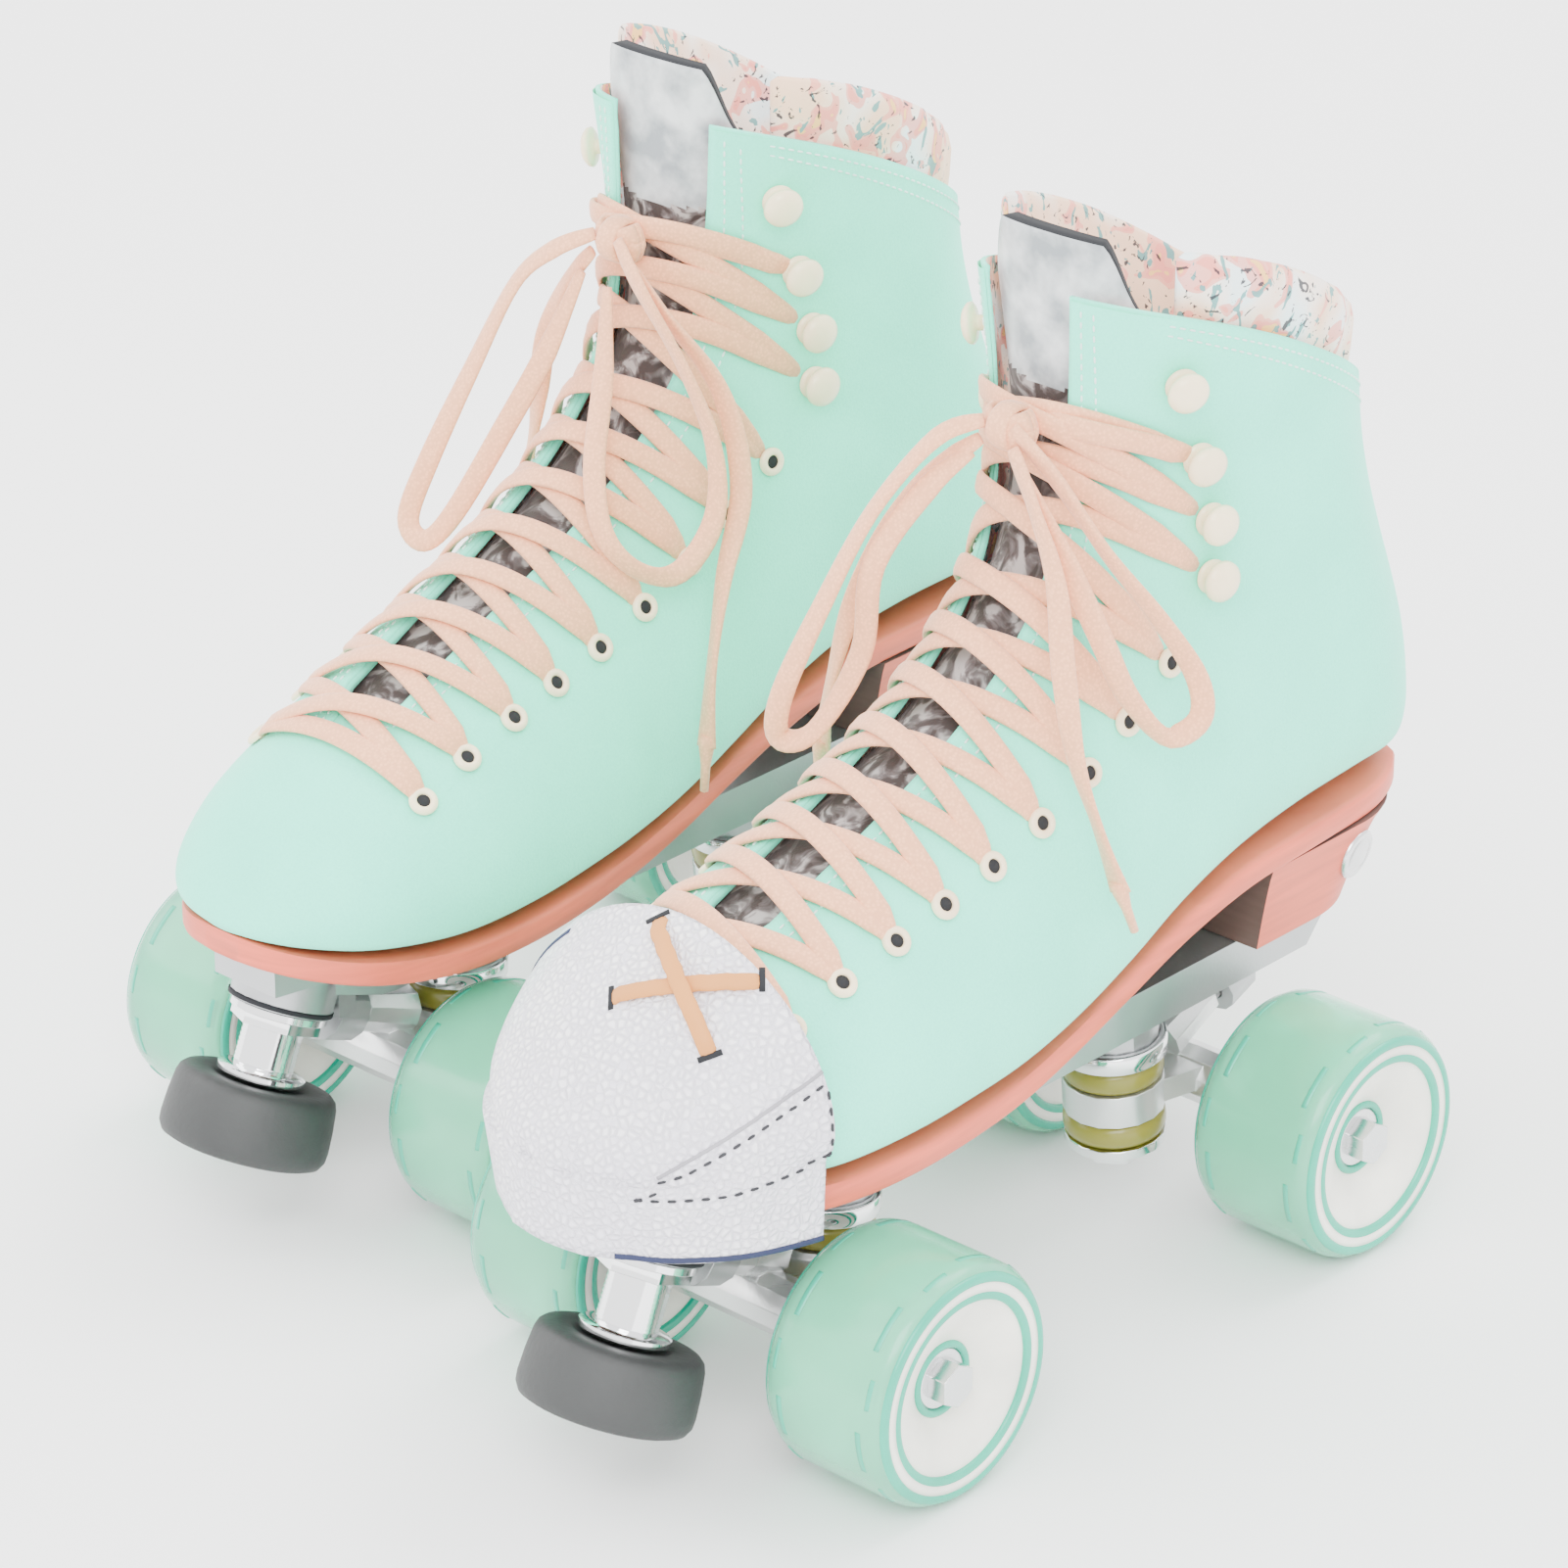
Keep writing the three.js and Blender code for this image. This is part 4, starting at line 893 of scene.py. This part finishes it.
HEEL_HALF = (30.5, 26)     # half width at the sole and at the plate
HEEL_BACK = (148, 133)
HEEL_FRONT = 80
PLATE_TOP = 72


def heel_outline(half, back):
    angles = [pi * (k / 32 - 0.5) for k in range(33)]
    round_part = [(-half * sin(a), back - half * 1.1 * (1 - cos(a))) for a in angles]
    return [(half, HEEL_FRONT), *round_part, (-half, HEEL_FRONT)]


def heel_block(name):
    top_z = sole_height_under
    rows = []
    for k in range(9):
        t = k / 8
        half = HEEL_HALF[0] + (HEEL_HALF[1] - HEEL_HALF[0]) * t ** 0.8
        back = HEEL_BACK[0] + (HEEL_BACK[1] - HEEL_BACK[0]) * t ** 0.75
        rows.append([place(name, (x, y, (top_z(y) - GAP) * (1 - t) + (PLATE_TOP + GAP) * t))
                     for x, y in heel_outline(half, back)])
    obj = new_piece(f"{name}_heel_block", *tube(rows), ["sole", "underside"], home(name),
                    [f"{name}_heel"], "sole")
    second_material(obj, lambda face: face.normal.y < -0.8 or abs(face.normal.z) > 0.9)
    smooth_by_angle(obj.data, 40)
    heel_stud(name)


def sole_height_under(y):
    """Height of the sole's lower face at a place along the boot."""
    for u in steps(9, 16, 0.05):
        sy, sz, _, _ = sole_section(u)
        if sy >= y:
            return sz - 7
    return RIBS[15][0][1] - GAP - 7


def heel_stud(name):
    centre = place(name, (27.4, 118, 86))
    outward = Vector((SIDES[name], 0.12, -0.2))
    profile = [(0, -1.5), (6.5, -1.5), (6.8, 0.4), (6.3, 1.0), (5.2, 1.2), (4.8, 1.0), (3.2, 1.7), (0, 2.1)]
    part = turned(profile, centre, outward, 32)
    new_piece(f"{name}_heel_stud", *part, "steel", home(name), (), "plate")


def boot(name):
    upper(name)
    for hand in (-1, 1):
        facing(name, hand)
    collar_pad(name)
    tongue(name)
    beside_throat(name, "eyelets", EYELET_MARKS, EYELET, "enamel", 1.0, 28)
    # near-black discs in the eyelets: the painted shade of the holes
    beside_throat(name, "eyelet_hole_shades", EYELET_MARKS, EYELET_HOLE_SHADE, "dark", 1.25, 20)
    beside_throat(name, "lace_hooks", HOOK_MARKS, HOOK, "enamel", 1.0, 32)
    boot_stitches(name)
    outsole(name)
    heel_block(name)
    inside = bpy.data.objects[f"{name}_footbed"]
    inside.data.materials.clear()
    inside.data.materials.append(MAT["insole"])


# ---- wheels and trucks
WHEEL_RADIUS = 31
WHEEL_HALF = 18.5
TRACK = 98
WHEELBASE = 160


def mirrored_profile(half_profile):
    """A profile from the inner face to the middle, closed by its mirror image."""
    return closed(half_profile + [(r, -h) for r, h in reversed(half_profile)])


TREAD = mirrored_profile([(23.3, 17.6), (24.2, 18.15), (26.0, 18.3), (28.4, 18.15), (29.6, 17.3),
                          (30.5, 15.9), (30.93, 14.1), (31.0, 11.5)])
CORE = mirrored_profile([(4.2, 10.5), (7.5, 10.5), (8.2, 10.8), (9.4, 11.2), (10.6, 11.9), (14, 14.4),
                         (18, 16.4), (20.5, 17.3), (22.8, 17.55)])
PRINT_BAND = [(24.0, -0.3), (24.0, 0.42), (27.4, 0.42), (27.4, -0.3)]
OUTER_RING = [(26.8, -0.4), (26.8, 0.5), (27.2, 0.8), (28.5, 0.6), (29.1, 0.0), (29.1, -0.8)]
INNER_RING = [(22.3, -0.8), (22.3, 0.2), (22.7, 0.5), (24.2, 0.5), (24.6, 0.3), (24.6, -0.8)]
BEARING_RING = [(7.9, -0.4), (7.9, 0.7), (8.4, 1.0), (9.2, 1.0), (9.7, 0.6), (9.8, -0.4)]
BEARING_SHIELD = [(4.4, -0.6), (4.4, 0.3), (4.9, 0.5), (7.2, 0.5), (7.8, 0.3), (7.8, -0.6)]
FACE_DEPTH = 0.4       # how far in from the wheel's flank the rings sit
BEARING_DEPTH = 7.4
CORE_HALF = 17.4


def on_flanks(centre, depth, profiles, segments):
    """Profiles turned on both flanks of a wheel, a depth in from its widest."""
    parts = []
    for side in (-1, 1):
        out = Vector((side, 0, 0))
        start = centre + out * (WHEEL_HALF - depth) / 1000
        parts += [turned(profile, start, out, segments) for profile in profiles]
    return parts


def wheel(name, place_word, end, hand_word, x):
    centre = ORIGIN[name] + Vector((x, end * WHEELBASE / 2, WHEEL_RADIUS)) / 1000
    body = f"{name}_{place_word}_{hand_word}_wheel"
    node = f"{name}_{place_word}_{hand_word}"
    tread, core = [turned(profile, centre, (1, 0, 0), 96) for profile in (TREAD, CORE)]
    new_piece(f"{node}_urethane", *tread, "urethane", body, [f"{node}_tyre"], "urethane")
    obj = new_piece(f"{node}_core", *core, ["face", "core"], body, [f"{node}_hub"], "hub")
    second_material(obj, lambda face: abs(face.normal.x) < 0.05
                    and abs(face.center.x - centre.x) < CORE_HALF / 1000)
    smooth_by_angle(obj.data, 50)
    rings = on_flanks(centre, FACE_DEPTH, [OUTER_RING, INNER_RING], 96)
    for word, mat, finish, parts in (
            ("rings", "bright", "hub", rings + on_flanks(centre, BEARING_DEPTH, [BEARING_RING], 64)),
            ("print_bands", "face", "hub", on_flanks(centre, FACE_DEPTH, [PRINT_BAND], 96)),
            ("windows", "core", "hub", window_arcs(centre, -1) + window_arcs(centre, 1)),
            ("bearing_shields", "steel", "steel", on_flanks(centre, BEARING_DEPTH, [BEARING_SHIELD], 48))):
        new_piece(f"{node}_{word}", *joined(parts), mat, body, (), finish)


def window_arcs(centre, side):
    """Outlines of the core's windows, which show through the urethane on the wheel's flank."""
    parts = []
    for k in range(6):
        middle = radians(60 * k + 12)
        for reach, radius, height, wide in ((11, 30.98, 12.4, 0.9), (7, 30.6, 15.0, 1.2)):
            rows = []
            for j in range(13):
                angle = middle + radians(reach * (j / 6 - 1) + (30 if reach == 7 else 0))
                out = Vector((0, cos(angle), sin(angle)))
                slope = out if height < 14 else (Vector((side * 0.5, 0, 0)) + out).normalized()
                base = centre + (out * radius + Vector((side * height, 0, 0))) / 1000
                along = slope.cross(Vector((0, -sin(angle), cos(angle)))).normalized()
                rows.append([base + (along * wide * a + slope * b) / 1000
                             for a, b in ((-1, -0.3), (-0.8, 0.12), (0.8, 0.12), (1, -0.3))])
            parts.append(tube(rows))
    return parts


KINGPIN_TILT = radians(5)
RING_Z = 33
KINGPIN_Y = 56


def kingpin_axis(end):
    return Vector((0, -end * sin(KINGPIN_TILT), cos(KINGPIN_TILT)))


def stack_point(name, end, height):
    point = Vector((0, end * KINGPIN_Y, RING_Z)) + kingpin_axis(end) * height
    return place(name, point)


def truck(name, place_word, end):
    chassis = home(name)
    body = f"{name}_{place_word}_truck"
    node = f"{name}_{place_word}"
    up = kingpin_axis(end)
    bevelled(f"{node}_hanger", "truck", body, 0.001)
    bevelled(f"{node}_axle", "steel", body, 0.0004)
    bevelled(f"{node}_kingpin", "chrome", chassis, 0.0006)
    bulge = [(5.2, 0), (11.6, 0), (12.6, 0.5), (13.2, 1.8), (13.3, 3.25), (13.2, 4.7), (12.6, 6.0),
             (11.6, 6.5), (5.2, 6.5)]
    for word, low, anchor in (("upper", 4.8, 11.3), ("lower", -11.3, -11.3)):
        part = turned(closed(bulge), stack_point(name, end, low), up, 48)
        obj = new_piece(f"{node}_{word}_cushion_rubber", *part, "cushion", chassis,
                        [f"{node}_{word}_cushion"], "cushion")
        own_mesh(obj)
    cup = [(13.4, 0.15), (14.0, 0.0), (14.35, 0.5), (14.35, 4.6), (13.9, 5.25), (12.6, 5.4), (12.45, 5.0),
           (13.0, 4.6), (13.85, 4.2), (13.85, 0.6)]
    part = turned(closed(cup), stack_point(name, end, 11.7), up, 48)
    new_piece(f"{node}_cushion_cup", *part, "chrome", chassis, (), "chrome")


STOP_TILT = radians(24)
STOP_BOSS = (0, -116.44, 58)
STOP_REACH = {"left": 21.8, "right": 19.8}


def stop_point(name, distance):
    direction = Vector((0, -sin(STOP_TILT), -cos(STOP_TILT)))
    return place(name, Vector(STOP_BOSS) + direction * distance)


def toe_stop(name):
    body = f"{name}_toe_stop"
    reach = STOP_REACH[name]
    axis = stop_point(name, 1) - stop_point(name, 0)
    pad = [(0, 0.9), (11.8, 0.8), (12.4, 0.2), (17.6, 0), (19.4, 0.4), (20.5, 1.4), (21.1, 3.2), (21.7, 8.5),
           (22, 14), (21.8, 16.4), (20.8, 18.2), (18.8, 19.0), (0, 19.0)]
    part = turned(pad, stop_point(name, reach), axis, 72)
    new_piece(f"{name}_stop_rubber", *part, "rubber", body, [f"{name}_toe_stop_pad"], "stop_rubber")
    low = -9
    stem = [(0, low), (7.7, low)]
    height = low + 0.8
    while height < reach - 3.2:
        stem += [(7.9, height), (7.7, height + 0.6)]
        height += 1.25
    stem += [(7.7, reach - 3), (10.6, reach - 2.8), (11.5, reach - 2.3), (11.5, reach - 0.8),
             (11.0, reach - 0.3), (0, reach - 0.3)]
    part = turned(stem, stop_point(name, 0), axis, 48)
    obj = new_piece(f"{name}_stop_stem", *part, "chrome", body, [f"{name}_toe_stop_stem"], "chrome")
    smooth_by_angle(obj.data, 40)
    bevelled(f"{name}_toe_stop_nut", "chrome", home(name), 0.0007)
    ring = [(13.3, -0.4), (13.75, -0.3), (13.8, -1.3), (13.5, -1.6)]
    part = turned(closed(ring), stop_point(name, 0), axis, 48)
    new_piece(f"{name}_boss_ring", *part, "dark", home(name), (), "plate")


SCREW_X = 12.5
SCREW_Y = (-88, -74, 88, 104)
PLATE_BOTTOM = 68
SCREW_HEAD = [(0, 0), (3.4, 0), (3.6, 0.5), (3.3, 1.7), (2.2, 2.3), (1.2, 2.4), (1.0, 1.5), (0, 1.5)]


def plate_screws(name):
    parts = []
    for y in SCREW_Y:
        for x in (-SCREW_X, SCREW_X):
            spot = place(name, (x, y, PLATE_BOTTOM))
            parts.append(turned(SCREW_HEAD, spot, Vector((0, 0, -1)), 20))
    new_piece(f"{name}_plate_screws", *joined(parts), "steel", home(name), (), "chrome")


def chassis(name):
    bevelled(f"{name}_plate", "plate", home(name), 0.0008)
    plate_screws(name)
    toe_stop(name)
    for place_word, end in (("front", -1), ("rear", 1)):
        truck(name, place_word, end)
        for hand_word, x in (("inner", -SIDES[name]), ("outer", SIDES[name])):
            wheel(name, place_word, end, hand_word, x * TRACK / 2)


# ---- toe guard
GUARD_BODY = "left_toe_guard"
GUARD_OUT = 1.2 + 2.2    # a gap to the upper and the leather's own thickness
GUARD_BOTTOM = 70
GUARD_BACK = -101
GUARD_OVER_LACES = 10
GUARD_GAP = 2.5
GUARD_WALL_STEPS = 8


def guard_top(u, angle, offset):
    over = min(max((u - 2) / 3, 0), 1) * GUARD_OVER_LACES
    return skin_at(u, angle, offset + over * math.sqrt(max(0, -cos(angle))))


def guard_column(u, offset):
    """Points of the guard over one rib, from the right hem over the top to the left hem."""
    fy, shift = [between(RIB_ROWS, u)[k] for k in (0, 8)]
    ahead = offset * max(0, 1 - u)
    sides = {}
    for hand in (-1, 1):
        reach = shift + hand * (between(SOLE_HALF, u) + GUARD_GAP + offset)
        hem = Vector((reach, fy - ahead, GUARD_BOTTOM))
        shoulder = guard_top(u, hand * pi / 2, offset)
        wide = hand * max(hand * shoulder.x, hand * reach)
        shoulder = Vector((wide, shoulder.y, shoulder.z))
        sides[hand] = [hem.lerp(shoulder, k / GUARD_WALL_STEPS) for k in range(GUARD_WALL_STEPS + 1)]
        for k, point in enumerate(sides[hand]):
            t = k / GUARD_WALL_STEPS
            point.x = hem.x + (shoulder.x - hem.x) * t * t * (3 - 2 * t)
    arch = [guard_top(u, -pi / 2 - pi * k / 36, offset) for k in range(1, 36)]
    return sides[-1] + arch + list(reversed(sides[1]))


def trimmed(columns):
    """Cuts every line of the guard off at its back edge."""
    result = []
    for line in zip(*columns):
        total = []
        for a, b in zip(line, line[1:]):
            total.append(a)
            if b.y >= GUARD_BACK:
                t = (GUARD_BACK - a.y) / (b.y - a.y) if b.y != a.y else 0
                total.append(a.lerp(b, t))
                break
        result.append(resampled(total, len(columns)))
    return list(zip(*result))


def resampled(line, count):
    lengths = [0.0]
    for a, b in zip(line, line[1:]):
        lengths.append(lengths[-1] + (b - a).length)
    out = []
    k = 0
    for i in range(count):
        want = lengths[-1] * i / (count - 1)
        while k < len(line) - 2 and lengths[k + 1] < want:
            k += 1
        span = lengths[k + 1] - lengths[k]
        out.append(line[k].lerp(line[k + 1], (want - lengths[k]) / span if span else 0))
    return out


def guard_front(column):
    """Rows that close the guard's front between its two walls, slightly crowned."""
    rows = []
    for a, b in list(zip(column, reversed(column)))[:len(column) // 2 + 1]:
        crown = Vector((0, -1.6 * min(1, (a - b).length / 12), 0))
        rows.append([a.lerp(b, k / 8) + crown * sin(pi * k / 8) for k in range(9)])
    return rows


def toe_guard():
    columns = trimmed([guard_column(u, GUARD_OUT) for u in steps(0, 6.4, 0.16)])
    points, faces = joined([grid(columns), grid(guard_front(columns[0]))])
    obj = new_piece("left_guard_leather", [place("left", p) for p in points], faces,
                    ["leather", "insole", "navy"], GUARD_BODY, ["left_toe_guard"], "guard_leather",
                    place("left", (0, -90, 90)))
    add_wall(obj, 0.0022, inside=1)
    return BVHTree.FromPolygons([tuple(p) for p in points], faces)


def on_guard(surface, marks, count):
    """(point, normal) pairs of a line laid over the guard through (x, y, z) marks."""
    line = []
    for k in range(count + 1):
        t = (len(marks) - 1) * k / count
        i = min(int(t), len(marks) - 2)
        target = Vector(marks[i]).lerp(Vector(marks[i + 1]), t - i)
        point, normal = surface.find_nearest(target)[:2]
        if normal.dot(point - Vector((0, -85, 85))) < 0:
            normal = -normal
        line.append((point, normal))
    return line


THONG_MIDDLE = Vector((7, -108, 124))
THONG_ARMS = (Vector((14, -8.5, -7.5)), Vector((14, 8.5, 4)))
PANEL_TIP = (18, -138, 88)
PANEL_HIGH = (45, -102, 113)
PANEL_LOW = (46.5, -102, 92)


def guard_piece(word, parts, mat):
    part = in_row_frame("left", joined(parts))
    new_piece(f"left_guard_{word}", *part, mat, GUARD_BODY, (), "guard_leather")


def laid_ribbon(line, lift, width, thickness):
    """A ribbon along (point, normal) pairs, lifted a little off them."""
    return ribbon([p + n * lift for p, n in line], [n for _, n in line], width, thickness)


def guard_trim(surface):
    """Crossed thong over four slit openings shown as near-black strips of painted shadow, the sewn side
    panel and its seam.
    """
    bands, slit_shadows = [], []
    for arm, lift in zip(THONG_ARMS, (3.0, 1.1)):
        line = on_guard(surface, [THONG_MIDDLE - arm, THONG_MIDDLE + arm], 24)
        points = []
        for k, (p, n) in enumerate(line):
            dive = max(0, 1 - min(k, 24 - k) / 3)
            crown = sin(pi * k / 24) ** 2
            points.append(p + n * (1.0 + (lift - 1.0) * crown - 1.9 * dive ** 2))
        bands.append(ribbon(points, [n for _, n in line], 4.2, 1.5))
        for p, n in (line[0], line[-1]):
            side = arm.cross(n).normalized()
            # near-black strip across each thong end: the painted shadow in its slit
            slit_shadows.append(laid_ribbon([(p + side * t, n) for t in (-3, -1, 1, 3)], 0.1, 1.5, 0.5))
    guard_piece("thong", bands, "tan")
    guard_piece("slit_shadows", slit_shadows, "dark")
    stitches = []
    for marks, count in (([PANEL_TIP, (34, -124, 100), PANEL_HIGH], 60),
                         ([PANEL_TIP, (36, -124, 88), PANEL_LOW], 60), ([PANEL_LOW, PANEL_HIGH], 30)):
        stitches += dashes(on_guard(surface, marks, count), 0.2, 3.9, 2.1, 0.38)
    guard_piece("stitches", stitches, "black_thread")
    seam = on_guard(surface, [(21, -135, 93), (33, -124, 103), (44, -102, 116)], 60)
    guard_piece("seam", [laid_ribbon(seam, 0.15, 0.9, 0.7)], "seam")
    hems = [on_guard(surface, marks, 60) for marks in (
        [(13, -142, 70.6), (31, -130, 70.6), (46, -102, 70.6)],
        [(-47, -101.4, 82), (-43, -101.4, 103), (-32, -101.4, 121)])]
    guard_piece("hems", [laid_ribbon(line, 0.1, 1.5, 0.6) for line in hems], "navy")


# ---- studio
FLOOR_HALF = 6
SKY_STRENGTH = 2.8
LIGHTS = (((1.4, -1.6, 1.9), 85, 1.6), ((-1.7, -0.9, 1.5), 42, 1.8), ((0.2, 1.4, 2.2), 50, 1.5))
LIT_POINT = Vector((0, 0, 0.12))


def floor_and_lights():
    look = Look("studio_floor", grey(0.93), 0.75)
    look.colored(look.ramp(look.noise(3, 2.0), [(0.3, grey(0.92)), (0.7, grey(0.95))]))
    mesh = bpy.data.meshes.new("floor")
    corners = [(x * FLOOR_HALF, y * FLOOR_HALF, 0) for x, y in ((-1, -1), (1, -1), (1, 1), (-1, 1))]
    mesh.from_pydata(corners, [], [(0, 1, 2, 3)])
    mesh.materials.append(look.mat)
    add_object("floor", mesh)
    world = bpy.data.worlds.new("studio")
    bpy.context.scene.world = world
    world.use_nodes = True
    sky = world.node_tree.nodes["Background"].inputs
    sky["Color"].default_value = (1, 1, 1, 1)
    sky["Strength"].default_value = SKY_STRENGTH
    for spot, power, size in LIGHTS:
        data = bpy.data.lights.new("soft_light", "AREA")
        data.energy = power
        data.size = size
        light = add_object("soft_light", data)
        light.location = spot
        light.rotation_euler = (LIT_POINT - Vector(spot)).to_track_quat("-Z", "Y").to_euler()


make_camera()
make_materials()
for skate in SIDES:
    for stretch in ROUTES[skate]:
        loose_lace(skate, stretch)
    laid_lace(skate)
    knot(skate)
for skate in SIDES:
    boot(skate)
    chassis(skate)
guard_trim(toe_guard())
floor_and_lights()
